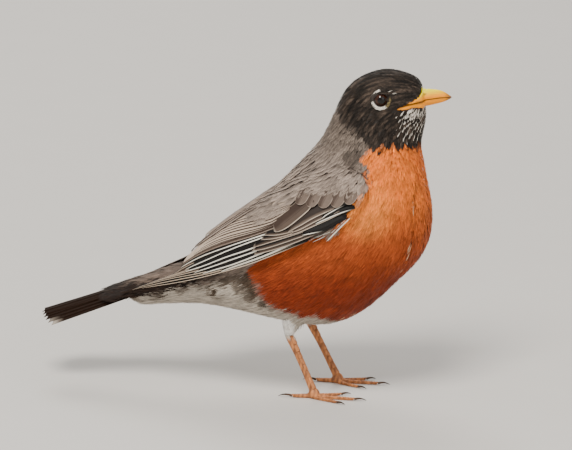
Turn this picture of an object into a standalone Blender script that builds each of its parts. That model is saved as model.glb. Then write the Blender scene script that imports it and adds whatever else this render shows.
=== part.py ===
"""American robin (Turdus migratorius), a life-size standing model made of lofted solids.

Metres, +Z up, bill towards +X, the bird's left side towards +Y, feet flat on z = 0.
Sizes below are in millimetres, in the bird's own plan: x = 0 is above the feet. At the end
everything moves along X and Y, so that the origin is under the middle of the whole box.
"""

import math

import bmesh
import bpy
import numpy as np
from mathutils import Vector

MM = 0.001
GAP = 0.3  # between neighbouring pieces
RIGHT, LEFT = -1, 1
SIDES = {"right": RIGHT, "left": LEFT}

# The body from bill base to tail coverts, as slices: the dorsal point (x, z), the ventral
# point (x, z), half the slice's width, where it is widest (+ is towards the belly), and how
# far the slice is turned to the bird's left, in degrees.
BODY_SLICES = [
    (44.9, 152.2, 46.3, 142.6, 4.2, 0.00, 10),
    (42.9, 157.2, 46.4, 139.4, 7.2, -0.05, 10),
    (36.4, 160.3, 46.0, 135.5, 10.3, -0.08, 10),
    (26.7, 161.9, 45.3, 132.0, 12.7, -0.08, 10),
    (15.8, 158.6, 44.6, 128.4, 14.2, -0.04, 10),
    (7.6, 151.9, 44.1, 124.9, 15.2, 0.00, 10),
    (2.7, 141.7, 44.6, 121.3, 16.8, 0.02, 9),
    (-4.0, 127.3, 45.8, 117.3, 20.4, 0.04, 4),
    (-14.0, 115.7, 47.6, 107.3, 25.6, 0.06, 0),
    (-26.0, 103.0, 50.0, 94.8, 29.8, 0.08, 0),
    (-36.0, 92.0, 49.6, 80.6, 31.8, 0.08, 0),
    (-46.5, 82.5, 44.1, 68.7, 32.2, 0.08, 0),
    (-56.5, 71.6, 33.1, 57.0, 31.2, 0.06, 0),
    (-66.0, 62.8, 18.0, 42.6, 28.4, 0.04, 0),
    (-74.6, 60.5, 0.0, 34.4, 24.4, 0.00, 0),
    (-82.2, 58.0, -20.0, 36.8, 20.0, 0.00, 0),
    (-89.2, 55.0, -40.1, 40.2, 15.8, 0.00, 0),
    (-96.2, 52.0, -60.1, 42.0, 12.6, 0.00, 0),
    (-102.2, 49.6, -79.1, 40.6, 9.4, 0.00, 0),
    (-106.0, 48.0, -95.0, 38.4, 5.6, 0.00, 0),
]
RINGS_PER_SLICE = 2
BODY_SEGMENTS = 26
NECK_PIVOT_X = 12.0  # the head turns about a vertical line through here
HEAD_TURN = BODY_SLICES[0][6]
# Where the body is parted, as slice numbers.
BODY_PIECES = {"head": (0, 6), "neck": (6, 8), "trunk": (8, 14), "rump": (14, 19)}

EYE_CENTRE = (25.4, 10.2, 150.9)
EYE_RADIUS = 4.1
BALL_SEGMENTS = 15

# The bill, in the head's plan before it turns. Each row: x, height of the closed mouth,
# culmen above it, gonys below it, half width.
BILL_ROWS = [
    (32.0, 142.0, 5.0, 1.4, 6.4),
    (37.6, 144.4, 5.4, 2.2, 5.8),
    (45.0, 146.7, 5.2, 3.9, 4.5),
    (51.8, 147.8, 4.1, 3.1, 3.0),
    (55.5, 148.4, 2.4, 2.1, 1.8),
    (57.8, 148.7, 0.9, 0.9, 0.8),
]
BILL_TIP = (58.9, 148.3)
BILL_ROW_STEPS = 2
BILL_ARC = 10

# The closed wing's outer face. Coverts and flight feathers hang between the shoulder edge and
# the fold; primaries with their own coverts hang below the fold. Each edge is a run of
# (x, half width, z), and the fourth point of the first two is at the greater coverts' tips.
SHOULDER_EDGE = [
    (15.0, 20.5, 121.0), (-4.0, 17.0, 116.0), (-21.0, 12.0, 105.0),
    (-36.0, 7.0, 93.4), (-52.0, 3.0, 80.8), (-67.8, 3.5, 65.4),
]
FOLD_EDGE = [
    (21.0, 31.4, 99.5), (4.0, 34.8, 91.8), (-12.0, 35.0, 86.6),
    (-30.0, 33.0, 80.0), (-50.0, 28.4, 71.5), (-69.5, 21.6, 63.4),
]
PRIMARY_TOP_EDGE = [
    (20.0, 31.8, 98.4), (4.0, 35.0, 90.7), (-12.0, 35.0, 85.5), (-30.0, 33.0, 78.9),
    (-50.0, 28.4, 70.4), (-69.5, 21.8, 62.2), (-97.0, 15.8, 49.8),
]
PRIMARY_LOW_EDGE = [
    (18.0, 32.4, 94.6), (2.0, 34.6, 86.2), (-14.0, 33.8, 78.6), (-33.0, 30.0, 69.4),
    (-52.0, 25.4, 61.7), (-72.0, 20.2, 55.5), (-96.0, 15.3, 48.6),
]
COVERTS_END = 3  # the edge point where the coverts stop
WING_STEPS = 2
SHOULDER_REACH = 7.0  # how far the shoulder bulges forward of its two corners
UPPER_BULGE = (4.2, 5.4, 6.2, 6.0, 4.4, 2.8)
LOWER_BULGE = (0.5, 0.9, 1.1, 1.1, 0.9, 0.6, 0.3)
UPPER_DEPTH = (9.0, 8.0, 7.0, 5.0, 2.8, 1.1)
LOWER_DEPTH = (6.0, 6.0, 6.0, 5.0, 3.4, 2.2, 1.2)
COVERT_COLUMNS = 9
SECONDARIES = 6
PRIMARIES = 3
FEATHER_STEP = 0.4  # height of a feather's free edge above the next feather
FEATHER_SHARE = 0.85  # of a feather's width, up to its raised edge
TIP_NOTCH = 1.6  # how far the tips stand out from the notches between them

# The tail: a roof-shaped fan of feathers, the middle pair on top and longest.
TAIL_ROOT = (-84.0, 57.0)
TAIL_TIP = (-144.3, 33.0)
TAIL_HALF_WIDTHS = (10.5, 14.8)  # at the root and at the tip
TAIL_ROOF = (5.4, 3.8)  # how far the outer feathers lie below the middle pair, likewise
TAIL_ROLL = 7.0  # degrees, the right side lower
TAIL_THICKNESS = (2.6, 1.5)  # at the root and at the tip
TAIL_ROUNDING = 5.0  # how much shorter the outer feathers are
TAIL_FEATHERS = 12
TAIL_ROWS = 5

# The legs. The right foot is a little behind the left. Radii run from the top down.
LEGS = {
    "right": {"thigh": (-14.5, 19.0, 52.0), "ankle": (-17.0, 15.0, 31.0), "ball": (-4.8, 15.0)},
    "left": {"thigh": (-11.5, 19.0, 52.0), "ankle": (-13.4, 15.0, 31.0), "ball": (0.8, 15.0)},
}
THIGH_RADII = (9.0, 7.4, 5.6, 3.9, 2.6)
TARSUS_RADII = (2.6, 2.0, 1.65, 1.55, 1.55, 1.7, 2.1)
TARSUS_FLATNESS = 0.78  # the legs are narrower across than front to back
LEG_SEGMENTS = 12
BALL_RADIUS = 2.8
BALL_HEIGHT = 2.35
# Each toe: bearing in degrees, + outwards; start, forward and outward of the ball's middle;
# length without the claw; radius at the root; number of pads; length of the claw.
TOES = {
    "middle": (1, 1.2, 0.1, 18.6, 1.15, 3, 6.6),
    "inner": (-27, 0.4, -1.7, 12.6, 1.05, 2, 5.6),
    "outer": (25, 0.4, 1.8, 13.4, 1.05, 4, 5.4),
    "hind": (176, -1.0, 0.0, 9.6, 1.30, 1, 7.6),
}
TOE_RINGS = 9
TOE_SEGMENTS = 8
TOE_SINK = 0.8  # the toe's middle is this many radii above the floor
CLAW_RINGS = 6
CLAW_RADIUS = 0.66
CLAW_DROOP = 50  # degrees the claw turns downward along its length
FLOOR_SIZE = 200.0

COLOURS = {
    "black": (0.022, 0.019, 0.017),
    "slate": (0.165, 0.150, 0.138),
    "slate_dark": (0.085, 0.074, 0.066),
    "rufous": (0.520, 0.165, 0.045),
    "white": (0.620, 0.600, 0.560),
    "brown_black": (0.045, 0.037, 0.032),
    "bill_yellow": (0.780, 0.400, 0.045),
    "eye": (0.014, 0.008, 0.006),
    "leg": (0.270, 0.130, 0.062),
    "claw": (0.050, 0.036, 0.028),
}
ROUGHNESS = {"eye": 0.08, "bill_yellow": 0.35, "leg": 0.5, "claw": 0.35}
PLUMAGE_ROUGHNESS = 0.8


def clear_scene():
    for obj in list(bpy.data.objects):
        bpy.data.objects.remove(obj, do_unlink=True)


def make_collection(name):
    collection = bpy.data.collections.new(name)
    bpy.context.scene.collection.children.link(collection)
    return collection


def make_material(colour):
    material = bpy.data.materials.get(colour)
    if material is None:
        material = bpy.data.materials.new(colour)
        material.use_nodes = True
        shader = material.node_tree.nodes["Principled BSDF"]
        shader.inputs["Base Color"].default_value = (*COLOURS[colour], 1.0)
        shader.inputs["Roughness"].default_value = ROUGHNESS.get(colour, PLUMAGE_ROUGHNESS)
        shader.inputs["Metallic"].default_value = 0.0
    return material


def smooth_rows(keys, steps):
    """Rows on a Catmull-Rom curve through the key rows, with this many steps between keys."""
    keys = np.array(keys, float)
    padded = np.vstack([2 * keys[0] - keys[1], keys, 2 * keys[-1] - keys[-2]])
    rows = []
    for i in range(len(keys) - 1):
        before, here, after, beyond = padded[i : i + 4]
        for t in np.arange(steps) / steps:
            rows.append(
                0.5
                * (
                    2 * here
                    + (after - before) * t
                    + (2 * before - 5 * here + 4 * after - beyond) * t**2
                    + (3 * here - before - 3 * after + beyond) * t**3
                )
            )
    return np.array(rows + [keys[-1]])


def add_mesh(name, points, faces, colour, collection):
    """An object from points in millimetres, in triangles so that cuts stay exact."""
    mesh = bpy.data.meshes.new(name)
    mesh.from_pydata([tuple(p) for p in np.array(points, float) * MM], [], faces)
    work = bmesh.new()
    work.from_mesh(mesh)
    bmesh.ops.triangulate(work, faces=work.faces, quad_method="FIXED")
    bmesh.ops.recalc_face_normals(work, faces=work.faces)
    work.to_mesh(mesh)
    work.free()
    obj = bpy.data.objects.new(name, mesh)
    collection.objects.link(obj)
    mesh.materials.append(make_material(colour))
    mesh.shade_smooth()
    mesh.set_sharp_from_angle(angle=math.radians(40))
    return obj


def loft_faces(rings, around):
    """Side faces between rings of equal size, and a face over each end."""
    faces = []
    for i in range(rings - 1):
        for j in range(around):
            k = (j + 1) % around
            low, high = i * around, (i + 1) * around
            faces.append((low + j, low + k, high + k, high + j))
    faces.append(tuple(range(around)))
    faces.append(tuple(range((rings - 1) * around, rings * around)))
    return faces


def add_loft(name, rings, colour, collection):
    rings = np.array(rings, float)
    faces = loft_faces(rings.shape[0], rings.shape[1])
    return add_mesh(name, rings.reshape(-1, 3), faces, colour, collection)


def add_sheet(name, outer, inner, colour, collection):
    """A closed plate between two grids of the same size."""
    rows, columns = outer.shape[:2]
    half = rows * columns
    faces = []
    for i in range(rows - 1):
        for j in range(columns - 1):
            a, b = i * columns + j, (i + 1) * columns + j
            faces.append((a, a + 1, b + 1, b))
            faces.append((half + a, half + b, half + b + 1, half + a + 1))
    rim = [i * columns for i in range(rows)]
    rim += [(rows - 1) * columns + j for j in range(1, columns)]
    rim += [i * columns + columns - 1 for i in range(rows - 2, -1, -1)]
    rim += list(range(columns - 2, 0, -1))
    for a, b in zip(rim, rim[1:] + rim[:1]):
        faces.append((a, b, half + b, half + a))
    points = np.vstack([outer.reshape(-1, 3), inner.reshape(-1, 3)])
    return add_mesh(name, points, faces, colour, collection)


def as_cutter(obj):
    obj.hide_render = True
    obj.display_type = "WIRE"
    return obj


def cut(obj, cutter):
    modifier = obj.modifiers.new("cut by " + cutter.name, "BOOLEAN")
    modifier.operation = "DIFFERENCE"
    modifier.object = cutter
    modifier.solver = "EXACT"


def turned(points, degrees):
    """Points turned about the neck's vertical line, towards the bird's left."""
    angle = math.radians(degrees)
    points = np.array(points, float)
    x, y = points[..., 0] - NECK_PIVOT_X, points[..., 1]
    moved = points.copy()
    moved[..., 0] = NECK_PIVOT_X + x * math.cos(angle) - y * math.sin(angle)
    moved[..., 1] = x * math.sin(angle) + y * math.cos(angle)
    return moved


def grid_normals(rings):
    """Outward unit normals of a tube of rings, from its neighbours' positions."""
    around = np.roll(rings, -1, axis=1) - np.roll(rings, 1, axis=1)
    along = np.gradient(rings, axis=0)
    normals = np.cross(along, around)
    normals /= np.linalg.norm(normals, axis=2, keepdims=True)
    outward = rings - rings.mean(axis=1, keepdims=True)
    return normals * np.sign((normals * outward).sum(axis=(1, 2), keepdims=True))


def body_ring(row):
    """One slice: an egg-shaped ring through its dorsal and ventral points."""
    dorsal_x, dorsal_z, ventral_x, ventral_z, half_width, widest, turn = row
    theta = np.arange(BODY_SEGMENTS) * 2 * math.pi / BODY_SEGMENTS
    towards_belly = np.cos(theta)
    ring = np.empty((BODY_SEGMENTS, 3))
    ring[:, 0] = (dorsal_x + ventral_x + (ventral_x - dorsal_x) * towards_belly) / 2
    ring[:, 1] = half_width * np.sin(theta) * (1 + widest * towards_belly)
    ring[:, 2] = (dorsal_z + ventral_z + (ventral_z - dorsal_z) * towards_belly) / 2
    return turned(ring, turn)


def body_rings():
    return np.array([body_ring(row) for row in smooth_rows(BODY_SLICES, RINGS_PER_SLICE)])


def slice_normal(ring):
    """The slice's own direction, from head to tail."""
    quarter = BODY_SEGMENTS // 4
    across = ring[quarter] - ring[-quarter]
    down = ring[0] - ring[BODY_SEGMENTS // 2]
    normal = np.cross(down, across)
    return normal / np.linalg.norm(normal)


def towards_tail(rings, i):
    normal = slice_normal(rings[i])
    ahead = rings[min(i + 1, len(rings) - 1)].mean(axis=0) - rings[max(i - 1, 0)].mean(axis=0)
    return normal * np.sign(normal @ ahead)


def add_body_pieces(rings, collection):
    """The body parted at whole slices, each new end drawn back by half the gap."""
    colours = {"head": "black", "neck": "slate", "trunk": "rufous", "rump": "white"}
    pieces = {}
    for name, (first, last) in BODY_PIECES.items():
        low, high = first * RINGS_PER_SLICE, last * RINGS_PER_SLICE
        part = rings[low : high + 1].copy()
        if low > 0:
            part[0] += towards_tail(rings, low) * GAP / 2
        if high < len(rings) - 1:
            part[-1] -= towards_tail(rings, high) * GAP / 2
        pieces[name] = add_loft(name, part, colours[name], collection)
    return pieces


def add_swollen_body(rings, cutters):
    """The whole body grown by the gap, which trims what grows from it."""
    grown = rings + grid_normals(rings) * GAP
    grown[0] -= towards_tail(rings, 0) * GAP
    grown[-1] += towards_tail(rings, len(rings) - 1) * GAP
    return as_cutter(add_loft("swollen_body", grown, "white", cutters))


def add_ball(name, centre, radius, colour, collection):
    bpy.ops.mesh.primitive_uv_sphere_add(
        segments=BALL_SEGMENTS,
        ring_count=BALL_SEGMENTS * 2 // 3,
        radius=radius * MM,
        location=Vector(centre) * MM,
    )
    obj = bpy.context.object
    obj.name = obj.data.name = name
    for other in list(obj.users_collection):
        other.objects.unlink(obj)
    collection.objects.link(obj)
    obj.data.materials.append(make_material(colour))
    obj.data.shade_smooth()
    return obj


def add_eyes(head, collection, cutters):
    """Two eyeballs, each in a socket that is one gap wider."""
    x, y, z = EYE_CENTRE
    for side, sign in SIDES.items():
        centre = turned((x, sign * y, z), HEAD_TURN)
        add_ball("eye_" + side, centre, EYE_RADIUS, "eye", collection)
        socket = add_ball("socket_" + side, centre, EYE_RADIUS + GAP, "black", cutters)
        cut(head, as_cutter(socket))


def bill_half(rows, upper):
    """Rings of one half of the bill: an arch over a flat mouth side, closing to the tip."""
    sign = 1 if upper else -1
    phi = np.linspace(0, math.pi, BILL_ARC)
    rings = []
    for x, mouth, culmen, gonys, half_width in rows:
        height = culmen if upper else gonys
        ring = np.empty((BILL_ARC, 3))
        ring[:, 0] = x
        ring[:, 1] = half_width * np.cos(phi)
        ring[:, 2] = mouth + sign * (GAP / 2 + (height - GAP / 2) * np.sin(phi) ** 0.8)
        rings.append(ring)
    tip = rings[-1].copy()
    tip_x, tip_z = BILL_TIP if upper else (rows[-1][0] + 0.6, rows[-1][1] - 0.45)
    tip[:, 0] = tip_x
    tip[:, 1] *= 0.3
    tip[:, 2] = tip_z + sign * 0.25 * np.sin(phi)
    return np.array(rings + [tip])


def add_bill(swollen_body, collection):
    rows = smooth_rows(BILL_ROWS, BILL_ROW_STEPS)
    for name, upper in (("bill_upper", True), ("bill_lower", False)):
        rings = turned(bill_half(rows, upper), HEAD_TURN)
        cut(add_loft(name, rings, "bill_yellow", collection), swollen_body)


def tube_rings(path, radii, flatness=1.0, segments=12, across=(0, 1, 0)):
    """Rings round a path. Flatness narrows them along the given direction."""
    path = np.array(path, float)
    along = np.gradient(path, axis=0)
    along /= np.linalg.norm(along, axis=1, keepdims=True)
    theta = np.arange(segments) * 2 * math.pi / segments
    rings = []
    for point, direction, radius in zip(path, along, radii):
        side = np.array(across, float) - direction * np.dot(across, direction)
        side /= np.linalg.norm(side)
        other = np.cross(direction, side)
        ring = np.outer(np.cos(theta) * radius * flatness, side)
        ring += np.outer(np.sin(theta) * radius, other)
        rings.append(point + ring)
    return np.array(rings)


def feather_columns(feathers):
    """Places across a row of feathers, and which of them are raised free edges."""
    inner = [(k + share) / feathers for k in range(feathers) for share in (0, FEATHER_SHARE)]
    places = np.array(inner + [1.0])
    raised = (np.arange(len(places)) % 2).astype(float)
    return places, raised


def wing_grid(top_edge, low_edge, bulges, places, side):
    """Points between two edges, bulging outward between them, and their outward normals."""
    top = smooth_rows(top_edge, WING_STEPS) * (1, side, 1)
    low = smooth_rows(low_edge, WING_STEPS) * (1, side, 1)
    rows = len(top)
    bulge = np.interp(np.linspace(0, 1, rows), np.linspace(0, 1, len(bulges)), bulges)
    grid = top[:, None] * (1 - places)[:, None] + low[:, None] * places[:, None]
    chord = low - top
    out = np.cross(chord, np.gradient(grid, axis=0).mean(axis=1))
    out /= np.linalg.norm(out, axis=1, keepdims=True)
    out *= np.sign(out[:, 1:2]) * side
    arch = 4 * places * (1 - places)
    grid += out[:, None] * (bulge[:, None] * arch)[..., None]
    normals = np.cross(np.gradient(grid, axis=0), np.gradient(grid, axis=1))
    normals /= np.linalg.norm(normals, axis=2, keepdims=True)
    normals *= np.sign((normals * out[:, None]).sum(axis=2, keepdims=True))
    return grid, normals


def inner_face(outer, depths, side, leans_down):
    """The hidden face of a wing piece. At the back it lies below, at the fold it lies inside."""
    rows, columns = outer.shape[:2]
    depth = np.interp(np.linspace(0, 1, rows), np.linspace(0, 1, len(depths)), depths)
    places = np.linspace(0, 1, columns) ** 0.6 if leans_down else np.ones(columns)
    angle = places * math.pi / 2
    inward = np.stack([np.zeros(columns), -side * np.sin(angle), -np.cos(angle)], axis=1)
    return outer + depth[:, None, None] * inward[None]


def notched(grid, raised):
    """The last row pushed out along the feathers, so that each has a tip of its own."""
    grid = grid.copy()
    along = grid[-1] - grid[-2]
    along /= np.linalg.norm(along, axis=1, keepdims=True)
    grid[-1] += along * (raised * TIP_NOTCH)[:, None]
    return grid


def add_wing(label, side, swollen_body, collection):
    """Three pieces: the coverts, the secondaries with the tertials, and the primaries."""
    end = COVERTS_END
    places = np.linspace(0, 1, COVERT_COLUMNS)
    grid, normals = wing_grid(SHOULDER_EDGE, FOLD_EDGE, UPPER_BULGE, places, side)
    split = end * WING_STEPS
    coverts = grid[: split + 1].copy()
    reach = SHOULDER_REACH * 4 * places * (1 - places)
    coverts[0, :, 0] += reach
    coverts[1, :, 0] += reach / 2
    steps = np.arange(split + 1) % 2 * FEATHER_STEP
    coverts += normals[: split + 1] * steps[:, None, None]
    back = coverts[-1] - coverts[-2]
    back /= np.linalg.norm(back, axis=1, keepdims=True)
    coverts[-1] -= back * GAP
    inner = inner_face(coverts, UPPER_DEPTH[: end + 1], side, True)
    piece = add_sheet("wing_coverts_" + label, coverts, inner, "slate", collection)
    cut(piece, swollen_body)

    places, raised = feather_columns(SECONDARIES)
    grid, normals = wing_grid(SHOULDER_EDGE, FOLD_EDGE, UPPER_BULGE, places, side)
    flight = notched(grid[split:], raised)
    flight += normals[split:] * (raised * FEATHER_STEP)[:, None]
    inner = inner_face(notched(grid[split:], raised), UPPER_DEPTH[end:], side, True)
    piece = add_sheet("wing_secondaries_" + label, flight, inner, "slate_dark", collection)
    cut(piece, swollen_body)

    places, raised = feather_columns(PRIMARIES)
    grid, normals = wing_grid(PRIMARY_TOP_EDGE, PRIMARY_LOW_EDGE, LOWER_BULGE, places, side)
    grid = notched(grid, raised)
    inner = inner_face(grid, LOWER_DEPTH, side, False)
    grid += normals * (raised * FEATHER_STEP)[:, None]
    piece = add_sheet("wing_primaries_" + label, grid, inner, "brown_black", collection)
    cut(piece, swollen_body)


def add_tail(swollen_body, collection):
    """A roof-shaped fan whose feathers step down to each side of the middle pair."""
    half_places, half_raised = feather_columns(TAIL_FEATHERS // 2)
    places = np.concatenate([-half_places[:0:-1], half_places])
    raised = np.concatenate([half_raised[:0:-1], half_raised])
    s = np.linspace(0, 1, TAIL_ROWS)[:, None]
    width = TAIL_HALF_WIDTHS[0] + (TAIL_HALF_WIDTHS[1] - TAIL_HALF_WIDTHS[0]) * s
    roof = TAIL_ROOF[0] + (TAIL_ROOF[1] - TAIL_ROOF[0]) * s
    thickness = TAIL_THICKNESS[0] + (TAIL_THICKNESS[1] - TAIL_THICKNESS[0]) * s
    root, tip = np.array(TAIL_ROOT), np.array(TAIL_TIP)
    length = np.linalg.norm(tip - root)
    slope = (tip - root) / length
    run = s * (length - TAIL_ROUNDING * np.abs(places) ** 2)
    run[-1] -= (1 - raised) * TIP_NOTCH / 2
    across = width * places
    over = -roof * np.abs(places) ** 1.4 + raised * FEATHER_STEP
    under = -roof * np.abs(places) ** 1.4 - thickness
    roll = math.radians(TAIL_ROLL)

    def in_place(height):
        y = across * math.cos(roll) - height * math.sin(roll)
        up = across * math.sin(roll) + height * math.cos(roll)
        x = root[0] + slope[0] * run - slope[1] * up
        z = root[1] + slope[1] * run - slope[0] * up
        return np.stack([x, y, z], axis=2)

    tail = add_sheet("tail", in_place(over), in_place(under), "brown_black", collection)
    cut(tail, swollen_body)


def add_leg(label, side, swollen_body, floor, collection, cutters):
    """Thigh, tarsus, ball of the foot, and four toes with their claws."""
    size = LEGS[label]
    thigh_top = np.array(size["thigh"]) * (1, side, 1)
    ankle = np.array(size["ankle"]) * (1, side, 1)
    ball = np.array([size["ball"][0], side * size["ball"][1], BALL_HEIGHT])
    thigh_path = np.linspace(thigh_top, ankle, len(THIGH_RADII))
    tarsus_path = np.linspace(ankle, ball, len(TARSUS_RADII))
    path = np.vstack([thigh_path, tarsus_path[1:]])
    rings = tube_rings(path, THIGH_RADII + TARSUS_RADII[1:], TARSUS_FLATNESS, LEG_SEGMENTS)
    joint = len(THIGH_RADII) - 1
    along = path[joint + 1] - path[joint - 1]
    along /= np.linalg.norm(along)
    thigh, tarsus = rings[: joint + 1].copy(), rings[joint:].copy()
    thigh[-1] -= along * GAP / 2
    tarsus[0] += along * GAP / 2
    cut(add_loft("thigh_" + label, thigh, "white", collection), swollen_body)
    tarsus_piece = add_loft("tarsus_" + label, tarsus, "leg", collection)

    foot = add_ball("foot_" + label, ball, BALL_RADIUS, "leg", collection)
    cut(foot, floor)
    grown = add_ball("grown_foot_" + label, ball, BALL_RADIUS + GAP, "leg", cutters)
    cut(tarsus_piece, as_cutter(grown))
    for toe in TOES:
        add_toe(toe, label, side, ball, grown, floor, collection)


def toe_direction(bearing, side):
    angle = math.radians(bearing)
    return np.array([math.cos(angle), side * math.sin(angle), 0.0])


def add_toe(toe, label, side, ball, grown_ball, floor, collection):
    bearing, ahead, outward, length, radius, pads, claw_length = TOES[toe]
    direction = toe_direction(bearing, side)
    start = np.array([ball[0] + ahead, ball[1] + side * outward, 0.0])
    u = np.linspace(0, 1, TOE_RINGS)
    radii = radius * (1 - 0.3 * u) * (1 - 0.09 * np.cos(2 * math.pi * pads * u))
    path = start + direction * (u * length)[:, None]
    path[:, 2] = radii * TOE_SINK
    across = np.cross(direction, (0, 0, 1))
    rings = tube_rings(path, radii, segments=TOE_SEGMENTS, across=across)
    piece = add_loft(f"toe_{toe}_{label}", rings, "leg", collection)
    cut(piece, grown_ball)
    cut(piece, floor)

    turn = np.radians(CLAW_DROOP) * np.linspace(0, 1, CLAW_RINGS)
    step = claw_length / (CLAW_RINGS - 1)
    heading = direction * np.cos(turn)[:, None] - (0, 0, 1) * np.sin(turn)[:, None]
    claw = np.vstack([[0, 0, 0], np.cumsum(heading[:-1] * step, axis=0)])
    lift = max(0.0, -claw[-1, 2] + 0.35 - radii[-1])
    claw += path[-1] + direction * GAP
    claw[:, 2] += radii[-1] * (1 - TOE_SINK) + lift * np.linspace(0, 1, CLAW_RINGS)
    claw_radii = CLAW_RADIUS * (1 - 0.82 * np.linspace(0, 1, CLAW_RINGS) ** 1.3)
    rings = tube_rings(claw, claw_radii, TARSUS_FLATNESS, TOE_SEGMENTS - 2, across)
    add_loft(f"claw_{toe}_{label}", rings, "claw", collection)


def add_floor(cutters):
    """The ground below z = 0, which gives the feet their flats."""
    bpy.ops.mesh.primitive_cube_add(size=FLOOR_SIZE * MM, location=(0, 0, -FLOOR_SIZE * MM / 2))
    floor = bpy.context.object
    floor.name = "floor"
    for other in list(floor.users_collection):
        other.objects.unlink(floor)
    cutters.objects.link(floor)
    return as_cutter(floor)


def centre_on_origin(collection):
    """Moves everything along X and Y, so that the origin is under the middle of the box."""
    bpy.context.view_layer.update()
    graph = bpy.context.evaluated_depsgraph_get()
    corners = []
    for obj in collection.objects:
        placed = obj.evaluated_get(graph)
        corners += [placed.matrix_world @ Vector(corner) for corner in placed.bound_box]
    corners = np.array(corners)
    middle = (corners.min(axis=0) + corners.max(axis=0)) / 2
    for obj in bpy.data.objects:
        obj.location.x -= middle[0]
        obj.location.y -= middle[1]


def main():
    clear_scene()
    robin = make_collection("american_robin")
    cutters = make_collection("cutters")
    rings = body_rings()
    pieces = add_body_pieces(rings, robin)
    swollen = add_swollen_body(rings, cutters)
    floor = add_floor(cutters)
    add_eyes(pieces["head"], robin, cutters)
    add_bill(swollen, robin)
    add_tail(swollen, robin)
    for label, side in SIDES.items():
        add_wing(label, side, swollen, robin)
        add_leg(label, side, swollen, floor, robin, cutters)
    centre_on_origin(robin)


main()
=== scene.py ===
"""Looks of the life-size American robin: one skin, and over it feathers, horn, scales and eyes.

The CAD nodes give the outline out to the feather tips. A smooth envelope round them guides
every feather, and the skin is the same flesh drawn in by the depth of the coat. Lengths are
millimetres in the model's frame (+X towards the bill, +Y the bird's left, +Z up) until a mesh
is made. Colours are sRGB, 0 to 255.
"""

import itertools
import math

import bmesh
import bpy
import numpy as np
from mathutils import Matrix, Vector
from mathutils.bvhtree import BVHTree


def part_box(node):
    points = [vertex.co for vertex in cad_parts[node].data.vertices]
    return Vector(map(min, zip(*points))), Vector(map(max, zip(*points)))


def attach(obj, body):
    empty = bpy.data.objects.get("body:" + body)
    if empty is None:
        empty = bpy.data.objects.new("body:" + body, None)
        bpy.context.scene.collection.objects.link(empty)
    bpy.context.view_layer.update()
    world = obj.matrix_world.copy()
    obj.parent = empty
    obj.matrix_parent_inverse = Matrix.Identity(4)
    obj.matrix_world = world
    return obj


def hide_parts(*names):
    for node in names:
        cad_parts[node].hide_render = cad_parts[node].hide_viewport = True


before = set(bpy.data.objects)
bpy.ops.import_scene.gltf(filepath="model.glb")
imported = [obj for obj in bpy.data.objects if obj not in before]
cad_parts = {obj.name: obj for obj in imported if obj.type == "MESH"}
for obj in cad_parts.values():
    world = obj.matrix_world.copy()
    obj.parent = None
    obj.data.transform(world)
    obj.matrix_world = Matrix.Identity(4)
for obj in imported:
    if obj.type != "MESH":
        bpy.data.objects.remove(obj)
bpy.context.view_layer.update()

MM = 0.001
SIDES = {"right": -1.0, "left": 1.0}
TOES = ("middle", "inner", "outer", "hind")
BODY = ["head", "neck", "trunk", "rump"]
LEGS = [
    f"{part}_{side}"
    for side in SIDES
    for part in ("thigh", "tarsus", "foot", *(f"toe_{toe}" for toe in TOES))
]
THIGHS = [f"thigh_{side}" for side in SIDES]
EYES = [f"eye_{side}" for side in SIDES]
TORSO = ["neck", "trunk", "rump"]
WINGS = {
    side: [f"wing_{part}_{side}" for part in ("coverts", "secondaries", "primaries")]
    for side in SIDES
}
FEATHERED = BODY + THIGHS + WINGS["right"] + WINGS["left"] + ["tail"]
GROW = 0.25  # how far an envelope stands off the solids

# The middle of the body from the bill's base to the tail's: the lie of the coat follows it.
AXIS = [
    (90, 5.5, 148), (80, 3.5, 147.5), (71, 1.8, 145.5), (64.5, 0.8, 136), (61, 0, 124),
    (57, 0, 110), (50, 0, 96), (38, 0, 82), (22, 0, 70), (4, 0, 60), (-16, 0, 53),
    (-40, 0, 48), (-62, 0, 42.5), (-101, 0, 28),
]
AXIS_STEP = 2.0
AXIS_BLEND = 10.0  # how far along it the directions are blended

# The coat's colours.
MANTLE = (158, 142, 130)
NAPE = (126, 113, 102)
RUMP = (114, 98, 87)
UPPERTAIL = (36, 26, 19)
HOOD = (46, 38, 32)
HOOD_EDGE = (66, 57, 50)
# The breast's colours, from bright above to deep rufous on the belly, are partly its own and partly
# painted light above and painted shade below; its pale patch beside the wing is partly painted
# light.
BREAST_HIGH = (250, 130, 44)
BREAST = (188, 86, 33)
BREAST_PALE_LIT = (255, 160, 72)
BELLY = (144, 52, 15)
VENT = (194, 183, 169)
# the smudges' colour, also used for painted shade beneath the wing
SMUDGE_AND_SHADE = (76, 62, 49)
THROAT_WHITE = (252, 243, 230)
THIGH = (255, 252, 246)
LEG = (240, 156, 92)
LEG_DARK = (98, 54, 32)
PARTING_PALE = (236, 186, 146)

# The wing's and the tail's.
FLIGHT = (14, 10, 8)
FLIGHT_WEB = (90, 75, 65)
FLIGHT_RIM = (255, 250, 236)
UPPER_PRIMARY = (86, 71, 61)
PRIMARY_RIM = (214, 194, 172)
# The tertials' grey-brown with painted sheen, and a darker copy of it for the lowest tertial:
# painted shade.
TERTIAL_LIT = (190, 170, 152)
TERTIAL_SHADED = (104, 88, 77)
TERTIAL_RIM = (196, 181, 166)
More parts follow.
